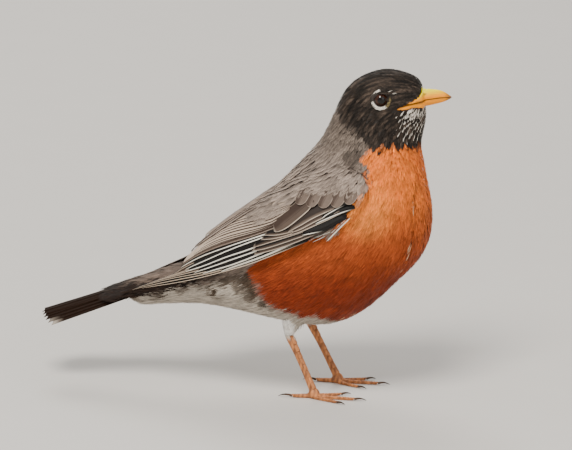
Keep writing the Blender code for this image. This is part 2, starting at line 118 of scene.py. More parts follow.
# the dark line along the tertials' leading edges: partly their darker web, partly painted shadow
# between stacked feathers
TERTIAL_DARK_AND_SHADOW_LINE = (66, 52, 44)
INNER_TERTIAL = (140, 123, 110)
STACK_RIM = (190, 174, 158)
SHOULDER_BED = (104, 92, 83)
WING_SHADE = (56, 45, 38)
COVERT_WEB = (118, 103, 92)
COVERT_DARK = (64, 50, 43)
COVERT_INNER_WEBS = (COVERT_DARK, COVERT_DARK, (44, 34, 29))
COVERT_RIM = (206, 190, 172)
BIG_COVERT_WEBS = {"outer": (88, 74, 65), "inner": (62, 48, 41)}
MEDIAN_WEBS = {"outer": (110, 95, 85), "inner": (74, 60, 52), "edge": (176, 160, 146)}
TAIL = (30, 15, 5)
TAIL_RIM = (38, 28, 22)
TAIL_CORNER = (190, 178, 164)

# Bill, claws and eyes.
BILL = (255, 156, 0)
# painted highlight along the top of the upper mandible
BILL_HIGHLIGHT = (255, 244, 0)
BILL_TIP = (120, 84, 52)
BILL_EDGE = (52, 32, 18)
# painted shade in the nostril's opening
NOSTRIL_SHADE = (60, 36, 20)
CLAW, CLAW_TIP = (88, 66, 52), (34, 27, 24)
PUPIL, IRIS, EYE_RIM = (6, 5, 5), (60, 32, 19), (24, 15, 11)
LID = (38, 30, 26)
EYE_RING, EYE_RING_DULL = (232, 224, 212), (158, 140, 92)

MOTTLE_WAVES = 7
MOTTLE_RANGE = 3.2  # the sum of the waves is cut off here
random = np.random.default_rng(7)


# ---------------------------------------------------------------- numbers and colours


def linear(colour):
    """A colour's sRGB values as linear ones."""
    c = np.asarray(colour, float) / 255
    return np.where(c <= 0.04045, c / 12.92, ((c + 0.055) / 1.055) ** 2.4)


def ramp(x, low, high):
    """Rises smoothly from 0 at low to 1 at high; high may be the lower number."""
    t = np.clip((np.asarray(x, float) - low) / (high - low), 0, 1)
    return t * t * (3 - 2 * t)


def mix(a, b, share):
    """From a, where the share is 0, to b, where it is 1."""
    share = np.asarray(share, float)[..., None]
    return a * (1 - share) + b * share


def unit(v):
    return v / np.maximum(np.linalg.norm(v, axis=-1, keepdims=True), 1e-9)


def dot(a, b):
    return (a * b).sum(axis=-1, keepdims=True)


def flat_on(normals, way):
    """Directions turned flat on a surface with these normals."""
    return unit(way - normals * dot(way, normals))


def mottle(points, size, seed):
    """A soft irregular pattern from -1 to 1, with blots about this size."""
    source = np.random.default_rng(seed)
    ways = unit(source.normal(size=(MOTTLE_WAVES, 3)))
    waves = ways * source.uniform(0.7, 1.5, (MOTTLE_WAVES, 1)) * 2 * math.pi / size
    phases = source.uniform(0, 2 * math.pi, MOTTLE_WAVES)
    return np.clip(np.sin(points @ waves.T + phases).sum(axis=-1) / MOTTLE_RANGE, -1, 1)


def curve(rows, count):
    """Rows of numbers read from a smooth curve through the given ones."""
    rows = np.asarray(rows, float)
    t = np.linspace(0, len(rows) - 1, count)
    i = np.clip(t.astype(int), 0, len(rows) - 2)
    f = (t - i)[:, None]
    padded = np.vstack([2 * rows[0] - rows[1], rows, 2 * rows[-1] - rows[-2]])
    a, b, c, d = padded[i], padded[i + 1], padded[i + 2], padded[i + 3]
    return b + 0.5 * f * (c - a + f * (2 * a - 5 * b + 4 * c - d + f * (3 * (b - c) + d - a)))


def inside(outline, points):
    """How far each point is inside an outline in the side view (x, z); minus outside."""
    a = np.asarray(outline, float)
    b = np.roll(a, -1, axis=0)
    p = np.stack([points[..., 0], points[..., 2]], axis=-1)[..., None, :]
    along = b - a
    t = np.clip(((p - a) * along).sum(-1) / (along**2).sum(-1), 0, 1)
    near = np.linalg.norm(p - a - t[..., None] * along, axis=-1).min(axis=-1)
    level = (a[:, 1] > p[..., 1]) != (b[:, 1] > p[..., 1])
    rise = np.where(along[:, 1] == 0, 1e-9, along[:, 1])
    crossed = level & (p[..., 0] < along[:, 0] * (p[..., 1] - a[:, 1]) / rise + a[:, 0])
    return np.where(crossed.sum(axis=-1) % 2 == 1, near, -near)


# ---------------------------------------------------------------- surfaces


class Surface:
    """A mesh's triangles, with smooth normals and a search tree."""

    def __init__(self, mesh):
        mesh.calc_loop_triangles()
        self.points, self.normals = points_of(mesh)
        self.faces = read(mesh.loop_triangles, "vertices", 3, int)
        self.tree = BVHTree.FromPolygons(self.points.tolist(), self.faces.tolist())

    def smooth(self, spots, index):
        """Normals between those of each triangle's corners."""
        corners = self.faces[index]
        a, b, c = (self.points[corners[:, k]] for k in range(3))
        ab, ac, ap = b - a, c - a, spots - a
        bb, bc, cc = dot(ab, ab), dot(ab, ac), dot(ac, ac)
        pb, pc = dot(ap, ab), dot(ap, ac)
        scale = np.maximum(bb * cc - bc * bc, 1e-12)
        v, w = (cc * pb - bc * pc) / scale, (bb * pc - bc * pb) / scale
        na, nb, nc = (self.normals[corners[:, k]] for k in range(3))
        return unit(na * (1 - v - w) + nb * v + nc * w)

    def nearest(self, points):
        found = [self.tree.find_nearest(p) for p in points.tolist()]
        spots = np.array([f[0][:] for f in found])
        return spots, self.smooth(spots, np.array([f[2] for f in found]))

    def cast(self, starts, direction):
        """First hits of parallel rays, and a row of truths that says which rays hit."""
        found = [self.tree.ray_cast(p, direction) for p in starts.tolist()]
        hit = np.array([f[0] is not None for f in found])
        spots = np.array([f[0][:] if f[0] else (0, 0, 0) for f in found])
        index = np.array([f[2] if f[0] else 0 for f in found])
        return spots, self.smooth(spots, index), hit


def read(items, field, width, kind=float):
    """One field of a mesh's points, corners or faces, as rows of this width."""
    values = np.empty(len(items) * width, np.float32 if kind is float else np.int32)
    items.foreach_get(field, values)
    return values.reshape(-1, width).astype(kind)


def points_of(mesh):
    """A mesh's points, in millimetres, and its normals."""
    return read(mesh.vertices, "co", 3) / MM, read(mesh.vertices, "normal", 3)


def move_points(mesh, points):
    mesh.vertices.foreach_set("co", (np.asarray(points) * MM).astype(np.float32).ravel())


def merge(parts):
    """One array of points and one of faces from several pairs of them."""
    starts = np.cumsum([0] + [len(points) for points, _ in parts])
    faces = [faces + start for (_, faces), start in zip(parts, starts)]
    return np.vstack([points for points, _ in parts]), np.vstack(faces)


def round_quads(index, join_rows=False):
    """Quads over a grid of point numbers that closes along its columns, and along its rows too."""
    index = np.pad(index, ((0, int(join_rows)), (0, 1)), mode="wrap")
    quads = [index[:-1, :-1], index[1:, :-1], index[1:, 1:], index[:-1, 1:]]
    return np.stack(quads, axis=-1).reshape(-1, 4)


def link(name, data):
    """A new object of the scene with this data."""
    made = bpy.data.objects.new(name, data)
    bpy.context.scene.collection.objects.link(made)
    return made


def node_arrays(name, grow=0.0):
    """A CAD node's welded points, moved out along their normals, and its triangles."""
    mesh = bmesh.new()
    mesh.from_mesh(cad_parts[name].data)
    bmesh.ops.remove_doubles(mesh, verts=mesh.verts, dist=1e-6)
    bmesh.ops.triangulate(mesh, faces=mesh.faces)
    mesh.normal_update()
    points = np.array([v.co / MM + v.normal * grow for v in mesh.verts])
    faces = np.array([[v.index for v in f.verts] for f in mesh.faces])
    mesh.free()
    return points, faces


def envelope(nodes, grow, voxel, rounds):
    """One smooth closed mesh round some CAD nodes."""
    points, faces = merge([node_arrays(name, grow) for name in nodes])
    holder = link("rough", fill_mesh("rough", points, [faces]))
    remesh = holder.modifiers.new("remesh", "REMESH")
    remesh.mode = "VOXEL"
    remesh.voxel_size = voxel * MM
    smooth = holder.modifiers.new("smooth", "SMOOTH")
    smooth.factor = 0.5
    smooth.iterations = rounds
    graph = bpy.context.evaluated_depsgraph_get()
    made = bpy.data.meshes.new_from_object(holder.evaluated_get(graph))
    bpy.data.objects.remove(holder)
    return made


def fill_mesh(name, points, faces):
    """A mesh from points in millimetres and arrays of triangles or quads."""
    mesh = bpy.data.meshes.new(name)
    mesh.vertices.add(len(points))
    move_points(mesh, points)
    corners = np.concatenate([f.ravel() for f in faces]).astype(np.int32)
    sizes = np.concatenate([np.full(len(f), f.shape[1]) for f in faces])
    mesh.loops.add(len(corners))
    mesh.loops.foreach_set("vertex_index", corners)
    mesh.polygons.add(len(sizes))
    starts = np.concatenate([[0], np.cumsum(sizes)[:-1]]).astype(np.int32)
    mesh.polygons.foreach_set("loop_start", starts)
    mesh.update(calc_edges=True)
    return mesh


def add_uv(mesh, name, places):
    """A UV map from one place for each point."""
    corner = read(mesh.loops, "vertex_index", 1, int)[:, 0]
    mesh.uv_layers.new(name=name).data.foreach_set("uv", places[corner].astype(np.float32).ravel())


def add_tint(mesh, colours):
    """Each point's own colour, which the materials read."""
    data = np.ones((len(colours), 4), np.float32)
    data[:, :3] = colours
    mesh.attributes.new("tint", "FLOAT_COLOR", "POINT").data.foreach_set("color", data.ravel())


def finish_piece(mesh, name, material, nodes):
    """Makes the mesh an object of the scene that stands for its CAD nodes."""
    mesh.name = name
    mesh.polygons.foreach_set("use_smooth", np.full(len(mesh.polygons), True))
    mesh.materials.append(material)
    piece = link(name, mesh)
    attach(piece, "root")
    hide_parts(*nodes)


# ---------------------------------------------------------------- the lie of the coat


class Lie:
    """The body's middle line: how far along it a point is, and which way feathers lie there."""

    def __init__(self):
        dense = curve(AXIS, 400)
        run = np.concatenate([[0], np.cumsum(np.linalg.norm(np.diff(dense, axis=0), axis=1))])
        self.length = run[-1]
        self.run = np.arange(0, self.length, AXIS_STEP)
        self.points = np.stack([np.interp(self.run, run, dense[:, k]) for k in range(3)], axis=1)
        self.ways = unit(np.gradient(self.points, axis=0))

    def at(self, points):
        """(run, middle, way) for each point, blended along the line."""
        gap = ((points[:, None] - self.points[None]) ** 2).sum(axis=-1)
        gap -= gap.min(axis=1, keepdims=True)
        weight = np.exp(-gap / (2 * AXIS_BLEND**2))
        weight /= weight.sum(axis=1, keepdims=True)
        return weight @ self.run, weight @ self.points, unit(weight @ self.ways)

    def along(self, points, normals):
        """The direction of the coat, flat on the surface; at the throat it turns down."""
        way = self.at(points)[2]
        seen = right_side(points)
        throat = ramp(seen[:, 0], 74, 82) * ramp(seen[:, 2], 147, 142) * ramp(seen[:, 2], 118, 126)
        return flat_on(normals, way + 1.6 * throat[:, None] * (-0.12, 0, -1.0))

    def unwrap(self, points):
        """A place in the unit square for each point: along the body and round it."""
        run, middle, way = self.at(points)
        left = np.tile([0.0, 1.0, 0.0], (len(points), 1))
        up = unit(np.cross(way, left))
        out = points - middle
        angle = np.arctan2(dot(out, left)[:, 0], dot(out, up)[:, 0])
        return np.stack([0.01 + 0.98 * run / self.length, 0.5 + 0.49 * angle / math.pi], axis=1)


# ---------------------------------------------------------------- markings, with painted light and shade

# Areas of colour, as outlines in the side view (x, z).
HOOD_AREA = [
    (35, 158), (42, 146.6), (47, 140.4), (51.4, 137.2), (57.6, 132.9), (62.3, 129.2), (67.4, 125.6),
    (74, 125.2), (80, 125.4), (86, 124.6), (100, 124.4), (110, 127), (110, 170), (35, 170),
]
BELLY_EDGE = [  # where the orange meets the white, from the wing down to the feet
    (8.5, 62.5), (10.3, 59.4), (13.4, 55.0), (15.8, 51.4), (18.6, 48.0), (23, 45.6), (28.4, 43.6),
    (33, 41.8), (42, 40.6), (48, 38.0), (54, 33), (60, 22),
]
ORANGE_AREA = [
    (69, 128.5), (65, 125), (62.5, 121.5), (65, 117.5), (67.4, 113), (66.6, 109.5), (64.4, 105.5),
    (61.6, 101.6), (58.6, 97), (55, 91), (48, 84.5), (35, 80), (24, 76), (12, 70), (8, 65),
    *BELLY_EDGE, (110, 22), (110, 130),
]
UNDERTAIL_AREA = [
    *BELLY_EDGE, (-110, 20), (-110, 30), (-80, 38), (-50, 45.5), (-36, 50), (-25, 53.4),
    (-12, 57), (0, 62),
]
# Dark spots of the vent and flank: partly the bird's own smudges, partly painted shade beneath the
# wing.
SMUDGES_AND_WING_SHADE = [  # x, z, radius, strength
    (-51, 41.4, 1.6, 0.7), (-43.4, 43.2, 1.4, 0.9), (-41, 45.6, 1.8, 1), (-38.6, 47.6, 1.5, 0.9),
    (-28.5, 49.6, 1.5, 0.8), (-25, 51.6, 1.6, 0.8), (-17.5, 54, 1.8, 0.7), (-12.4, 53.3, 1.8, 1),
    (-10.4, 50.6, 1.9, 1), (-7, 50, 1.4, 0.7), (4, 55.6, 3.2, 0.8), (8.6, 51.8, 3.4, 0.8),
    (11.4, 54.4, 3.8, 1), (1, 60.6, 5.2, 0.9), (-6, 59.4, 4, 0.9), (7.6, 59.4, 4.4, 1),
    (15, 49, 3.2, 0.9), (20, 46, 2.2, 0.6),
]
TAIL_SIDE_AND_SHADOW = [  # the tail's dark side and painted shadow under the wing, between the wing's tip and the white
    (-80, 60), (-80, 30), (-58, 41.0), (-49, 44.2), (-41.3, 47.0), (-33.7, 50.2), (-24.5, 54.4),
    (-13.9, 57.6), (-8, 59), (-20, 58.4), (-33, 55.6), (-50, 50.6),
]
PALE_LIT_PATCH = (66, 98, 15)  # the pale patch of the breast beside the wing, partly painted light: x, z, radius
DUSKY = (58, 121, 5.5)  # the dark mottled patch between nape and shoulder
FLECKS = [(75.2, 153.6), (76.7, 152.8), (77.5, 151.6)]  # white, before the eye
CHIN = (86, 143.4)
# The line along which the breast feathers part, as points (x, y, z).
PARTING = [(89, -9, 112), (88, -14.8, 102), (87.7, -17.3, 82.6), (80.2, -10, 61.4),
           (70, -9, 51), (62.3, -8.6, 44.9), (52.8, -10, 39.9)]
HEAD_TURN = math.radians(10)
HEAD_PIVOT = 55.36  # the x of the upright line that the head turns on


def right_side(points):
    """The points as if on the bird's right, with the head's turn allowed for."""
    turn = HEAD_TURN * ramp(points[..., 2], 108, 138)
    c, s = np.cos(turn), np.sin(turn)
    x, y = points[..., 0] - HEAD_PIVOT, points[..., 1]
    ahead, left = x * c + y * s, -np.abs(y * c - x * s)
    return np.stack([ahead * c - left * s + HEAD_PIVOT, ahead * s + left * c, points[..., 2]], -1)


def orange(points):
    """The breast: bright above and deep rufous below, partly painted light and shade, with the pale
    patch beside the wing, partly painted light.
    """
    z = points[:, 2] + 1.5 * mottle(points, 18, 3)
    colour = mix(linear(BREAST_HIGH), linear(BREAST), ramp(z, 108, 78))
    colour = mix(colour, linear(BELLY), ramp(z, 86, 54))
    away = np.hypot(points[:, 0] - PALE_LIT_PATCH[0], points[:, 2] - PALE_LIT_PATCH[1]) / PALE_LIT_PATCH[2]
    colour = mix(colour, linear(BREAST_PALE_LIT), 0.45 * ramp(away, 1.3, 0.3))
    return colour * (1 + 0.10 * mottle(points, 9, 4) + 0.05 * mottle(points, 4, 14))[:, None]


def markings_with_painted_light(points):
    """The bird's colour at each point, with some painted light and shade, and the borders shifted a
    little, to and fro.
    """
    points = right_side(points)
    x, z = points[:, 0], points[:, 2]
    shift = 0.9 * mottle(points, 5, 11) + 0.7 * mottle(points, 2.1, 12)
    grey = mix(linear(MANTLE), linear(RUMP), ramp(x, 10, -35))
    grey = mix(grey, linear(UPPERTAIL), ramp(x, -53, -65))
    grey = mix(grey, linear(NAPE), ramp(z, 116, 132))
    dusky = np.hypot(x - DUSKY[0], (z - DUSKY[1]) * 0.8) / DUSKY[2]
    grey = mix(grey, linear(HOOD_EDGE), 0.75 * ramp(dusky + 0.3 * shift, 1.2, 0.5))
    grey = grey * (1 + 0.10 * mottle(points, 12, 5)[:, None])
    colour = mix(grey, orange(points), ramp(inside(ORANGE_AREA, points) + shift, -0.9, 0.9))
    # Dark spots: partly the vent's own smudges, partly painted shade beneath the wing.
    dark = np.zeros(len(points))
    for spot_x, spot_z, radius, strength in SMUDGES_AND_WING_SHADE:
        away = np.hypot((x - spot_x) * 0.75, z - spot_z) + 0.45 * shift
        dark = np.maximum(dark, strength * ramp(away, radius * 1.2, radius * 0.5))
    below = mix(linear(VENT), linear(SMUDGE_AND_SHADE), dark)
    colour = mix(colour, below, ramp(inside(UNDERTAIL_AREA, points) + shift, -1.0, 1.2))
    # The tail's black side, partly painted shadow under the wing.
    side = ramp(-points[:, 1], 2.5, 5) * ramp(inside(TAIL_SIDE_AND_SHADOW, points) + 0.4 * shift, -0.8, 0.8)
    colour = mix(colour, linear(TAIL), side)
    hood = inside(HOOD_AREA, points) + 1.6 * shift
    nape_side = ramp(x, 70, 56)
    rim = mix(linear(HOOD), linear(HOOD_EDGE), ramp(hood, 5, 0) * (0.3 + 0.4 * nape_side))
    return mix(colour, rim, ramp(hood, -0.9 - 0.5 * nape_side, 0.8))


# ---------------------------------------------------------------- materials


def material(name, roughness, gloss=0.5, **sockets):
    """A Principled material, its node tree and its shader."""
    made = bpy.data.materials.new(name)
    made.use_nodes = True
    nodes = made.node_tree.nodes
    shader = nodes["Principled BSDF"]
    shader.inputs["Roughness"].default_value = roughness
    shader.inputs["Specular IOR Level"].default_value = gloss
    for socket, value in sockets.items():
        shader.inputs[socket.replace("_", " ").title()].default_value = value
    return made, made.node_tree, shader


def node(tree, kind, **settings):
    """One node, with its sockets and its settings by name."""
    made = tree.nodes.new(kind)
    for key, value in settings.items():
        if key in made.inputs:
            made.inputs[key].default_value = value
        else:
            setattr(made, key, value)
    return made


def calc(tree, operation, a, b=None, c=None, clamp=False):
    """One Math node; each of a, b and c is a number or a socket."""
    made = tree.nodes.new("ShaderNodeMath")
    made.operation = operation
    made.use_clamp = clamp
    for socket, value in zip(made.inputs, (a, b, c)):
        if value is None:
            continue
        if isinstance(value, (int, float)):
            socket.default_value = value
        else:
            tree.links.new(value, socket)
    return made.outputs[0]


def blend_colours(tree, a, b, share, kind="MIX"):
    """One Mix node for colours; a and b are colours or sockets, share a number or a socket."""
    made = tree.nodes.new("ShaderNodeMix")
    made.data_type = "RGBA"
    made.blend_type = kind
    made.clamp_factor = True
    for socket, value in ((made.inputs[6], a), (made.inputs[7], b), (made.inputs[0], share)):
        if hasattr(value, "is_linked"):
            tree.links.new(value, socket)
        elif isinstance(value, (int, float)):
            socket.default_value = value
        else:
            socket.default_value = (*value, 1)
    return made.outputs[2]


def noise(tree, scale, detail, stretch=None):
    """Noise over the object's own coordinates, in metres, or drawn out along an axis."""
    place = node(tree, "ShaderNodeTexCoord").outputs["Object"]
    if stretch:
        mapping = node(tree, "ShaderNodeMapping")
        mapping.inputs["Scale"].default_value = stretch
        tree.links.new(place, mapping.inputs["Vector"])
        place = mapping.outputs["Vector"]
    made = node(tree, "ShaderNodeTexNoise", Scale=scale, Detail=detail)
    tree.links.new(place, made.inputs["Vector"])
    return made.outputs["Fac"]


def shade(tree, shader, tint, share, low, high):
    """Links a colour to the shader, darker and lighter as the share goes from 0 to 1."""
    value = calc(tree, "MULTIPLY_ADD", share, high - low, low)
    grey = node(tree, "ShaderNodeCombineColor")
    for socket in grey.inputs:
        tree.links.new(value, socket)
    result = blend_colours(tree, tint, grey.outputs[0], 1.0, "MULTIPLY")
    tree.links.new(result, shader.inputs["Base Color"])


def bump(tree, shader, height, distance, strength):
    """Links a height from 0 to 1, which stands for the distance in metres."""
    made = node(tree, "ShaderNodeBump", Strength=strength, Distance=distance)
    tree.links.new(height, made.inputs["Height"])
    tree.links.new(made.outputs["Normal"], shader.inputs["Normal"])


def tinted(tree):
    """The mesh's own colours."""
    return node(tree, "ShaderNodeAttribute", attribute_name="tint").outputs["Color"]


def down_material():
    """Loose body feathers: their own colour, uneven in brightness, dull, with a soft sheen."""
    made, tree, shader = material("body feathers", 0.75, 0.22, sheen_weight=0.05,
                                  sheen_roughness=0.5)
    shade(tree, shader, tinted(tree), noise(tree, 900.0, 4.0), 0.76, 1.24)
    return made


BARB_WAVES = 46  # along one vane
SHAFT_SHARE = 0.03  # half of the shaft, as a share of the vane's width
SHAFT_COLOUR = (0.02, 0.014, 0.011)  # this one and the next are linear
FLOOR_COLOUR = (0.62, 0.60, 0.57)


def from_shaft(tree, across):
    """How far a place of a vane is from the shaft, from 0 to 0.5."""
    return calc(tree, "ABSOLUTE", calc(tree, "SUBTRACT", across, 0.5))


def barbs(tree, across, along, count, slant):
    """Waves that run from the shaft to the edge of a feather, slanting to its tip."""
    side = from_shaft(tree, across)
    turns = calc(tree, "MULTIPLY_ADD", side, -slant, calc(tree, "MULTIPLY", along, count))
    return calc(tree, "SINE", calc(tree, "MULTIPLY", turns, 2 * math.pi))


def vane_material(name, roughness, gloss):
    """Firm feathers: a fine comb of barbs on each side of a raised shaft."""
    made, tree, shader = material(name, roughness, gloss)
    place = node(tree, "ShaderNodeUVMap", uv_map="vane")
    split = node(tree, "ShaderNodeSeparateXYZ")
    tree.links.new(place.outputs["UV"], split.inputs[0])
    across, along = split.outputs[0], split.outputs[1]
    comb = barbs(tree, across, along, BARB_WAVES, BARB_WAVES * 0.35)
    patchy = noise(tree, 420.0, 4.0)
    level = calc(tree, "MULTIPLY_ADD", comb, 0.10, patchy)
    off = from_shaft(tree, across)
    ridge = calc(tree, "SUBTRACT", 1.0, calc(tree, "DIVIDE", off, SHAFT_SHARE), clamp=True)
    colour = tinted(tree)
    dark = blend_colours(tree, colour, SHAFT_COLOUR, calc(tree, "MULTIPLY", ridge, 0.45))
    shade(tree, shader, dark, level, 0.80, 1.20)
    height = calc(tree, "MULTIPLY_ADD", comb, 0.12, calc(tree, "MULTIPLY", ridge, 0.8))
    bump(tree, shader, height, 0.00018, 0.8)
    return made


def skin_material(name):
    """Skin with the coat's markings, and pores."""
    made, tree, shader = material(name, 0.62)
    pores = noise(tree, 1600.0, 5.0)
    shade(tree, shader, tinted(tree), pores, 0.75, 1.15)
    bump(tree, shader, pores, 0.0002, 0.5)
    return made


def horn_material(name, roughness):
    """Horn with lengthwise grain under a satin surface."""
    made, tree, shader = material(name, roughness, 0.12, coat_weight=0.03, coat_roughness=0.25)
    grain = noise(tree, 300.0, 6.0, (0.35, 1.6, 2.2))
    shade(tree, shader, tinted(tree), grain, 0.80, 1.16)
    rough = calc(tree, "MULTIPLY_ADD", grain, 0.25, roughness - 0.1)
    tree.links.new(rough, shader.inputs["Roughness"])
    bump(tree, shader, grain, 0.00012, 0.5)
    return made


def eye_material():
    """A wet eye: brown iris with fine spokes round a black pupil, as painted on the ball."""
    made, tree, shader = material("eye", 0.08, 0.1, coat_weight=0.55, coat_roughness=0.02)
    shade(tree, shader, tinted(tree), noise(tree, 2600.0, 3.0), 0.7, 1.3)
    return made


def floor_material():
    """Plain pale grey, hardly mottled."""
    made, tree, shader = material("floor", 0.85)
    shade(tree, shader, FLOOR_COLOUR, noise(tree, 30.0, 4.0), 0.985, 1.015)
    return made


# ---------------------------------------------------------------- body feathers


def lay_paths(surface, lie, roots, lengths):
    """Points, normals and directions from each root along the lie of the coat."""
    points, normals = surface.nearest(roots)
    path, tops, ways = [points], [normals], [lie.along(points, normals)]
    for before, after in zip(STATIONS[:-1], STATIONS[1:]):
        ahead = path[-1] + ways[-1] * ((after - before) * lengths)[:, None]
        points, normals = surface.nearest(ahead)
        path.append(points)
        tops.append(normals)
        ways.append(flat_on(normals, unit(lie.along(points, normals) + ways[-1])))
    return np.stack(path, axis=1), np.stack(tops, axis=1), np.stack(ways, axis=1)


# The shares of its length at which a tuft's strands have points.
STATIONS = (0.0, 0.4, 0.75, 1.0)
STRAND_TRIANGLES = 5
MOST_TRIANGLES = 190000  # in one piece
# How round the end of a tuft is, how uneven its strands are in length, and in their lie.
SOFT = {"round": 0.22, "ragged": 0.18, "loose": 1.0}
FIRM = {"round": 0.34, "ragged": 0.04, "loose": 0.25}


def tuft_arrays(path, tops, ways, lengths, size):
    """Strands that fan out from one root: (points, normals, triangles, quads, strand places)."""
    count, steps = path.shape[:2]
    strands = size["strands"]
    spread = np.linspace(-1, 1, strands)
    spread = spread + random.uniform(-0.5, 0.5, (count, strands)) / strands
    share = 1 - size["round"] * spread**2 - random.uniform(0, size["ragged"], (count, strands))
    v = np.asarray(STATIONS)
    side = np.cross(tops, ways)
    start = path[:, None, :1]
    run = start + (path[:, None] - start) * share[..., None, None]
    fan = size["root"] + (size["tip"] - size["root"]) * v**0.8
    reach = fan[None, None] * lengths[:, None, None]
    sideways = side[:, None] * (spread[..., None] * reach)[..., None]
    depth = size["depth"][:, None, None]
    loose = size["loose"]
    uneven = random.uniform(-0.35, 0.25, (count, strands, 1)) * loose
    uneven = uneven + random.uniform(-0.3, 0.3, (count, 1, 1)) * (1 - loose)
    lift = -depth * (1 - v) ** 1.4 + uneven * depth * v**2
    crown = 0.12 * size["tip"] * depth * 4 * spread[..., None] ** 2
    lift = lift + size.get("lift", 0.0) * v - crown
    middle = run + sideways + tops[:, None] * lift[..., None]
    roll = -0.45 * spread + random.uniform(-0.25, 0.25, (count, strands)) * loose
    turned = roll[..., None, None]
    edge = side[:, None] * np.cos(turned) + tops[:, None] * np.sin(turned)
    taper = np.interp(v, (0, 0.45, 0.8, 1.0), (0.7, 1.0, 0.75, 0.0))
    half = (size["width"][:, None] * taper)[:, None, :, None] / 2
    left, right = middle - edge * half, middle + edge * half
    points = np.stack([left[:, :, :-1], right[:, :, :-1]], axis=3).reshape(count, strands, -1, 3)
    points = np.concatenate([points, middle[:, :, -1:]], axis=2)
    tilt = spread + 2 * roll * loose + random.uniform(-0.5, 0.5, (count, strands)) * loose
    lean = random.uniform(-0.25, 0.25, (count, strands))[..., None, None] * loose * ways[:, None]
    soft = unit(tops[:, None] + 0.5 * side[:, None] * tilt[..., None, None] + lean)
    normals = np.repeat(soft[:, :, :-1], 2, axis=2)
    normals = np.concatenate([normals, soft[:, :, -1:]], axis=2)
    per = 2 * (steps - 1) + 1
    base = np.arange(count * strands)[:, None] * per
    rows = np.arange(steps - 2) * 2
    quads = np.stack([rows, rows + 2, rows + 3, rows + 1], axis=1)
    quads = (base[:, :, None] + quads[None]).reshape(-1, 4)
    triangles = base + np.array([per - 3, per - 1, per - 2])[None]
    along = np.append(np.repeat(v[:-1], 2), v[-1])
    across = np.broadcast_to(spread[..., None] * 0.5 + 0.5, (count, strands, per))
    places = np.stack([across, np.broadcast_to(along, across.shape)], axis=-1)
    return points, normals, triangles, quads, places


def add_tufts(name, surface, lie, roots, lengths, size, paint, fabric, nodes):
    """Tufts of strands as joined pieces, each under the limit of triangles."""
    triangles = len(roots) * size["strands"] * STRAND_TRIANGLES
    batches = max(1, math.ceil(triangles / MOST_TRIANGLES))
    for k, chosen in enumerate(np.array_split(np.arange(len(roots)), batches)):
        long = lengths[chosen]
        path, tops, ways = lay_paths(surface, lie, roots[chosen], long)
        part = {key: (v[chosen] if isinstance(v, np.ndarray) else v) for key, v in size.items()}
        points, normals, tris, quads, places = tuft_arrays(path, tops, ways, long, part)
        colours = paint(path, places, points)
        mesh = fill_mesh(name, points.reshape(-1, 3), [tris, quads])
        add_tint(mesh, colours.reshape(-1, 3))
        root_place = lie.unwrap(path[:, 0])[:, None, None]
        add_uv(mesh, "OFBake", (root_place + (places - 0.5) * 0.003).reshape(-1, 2))
        piece_name = name if batches == 1 else f"{name}_{k + 1}"
        finish_piece(mesh, piece_name, fabric, nodes)
        mesh.normals_split_custom_set_from_vertices(normals.reshape(-1, 3).astype(np.float32))


def scatter(surface, spacing, chosen):
    """Even, shuffled spots on a surface: its own points thinned to the spacing."""
    points = surface.points[chosen]
    order = random.permutation(len(points))
    taken, kept = {}, []
    cells = np.floor(points / spacing).astype(int).tolist()
    around = list(itertools.product((-1, 0, 1), repeat=3))
    for i in order:
        x, y, z = key = tuple(cells[i])
        crowd = [j for dx, dy, dz in around for j in taken.get((x + dx, y + dy, z + dz), ())]
        if crowd and (((points[crowd] - points[i]) ** 2).sum(axis=1) < spacing**2).any():
            continue
        taken.setdefault(key, []).append(i)
        kept.append(i)
    return points[kept]


NECK_RADIUS, STREAK_STEP = 13, 1.9  # the throat's streaks are this far apart


def repaint(which, new, colours):
    """The colours, with new ones in the rows that are chosen."""
    return np.where(which[:, None], new, colours)


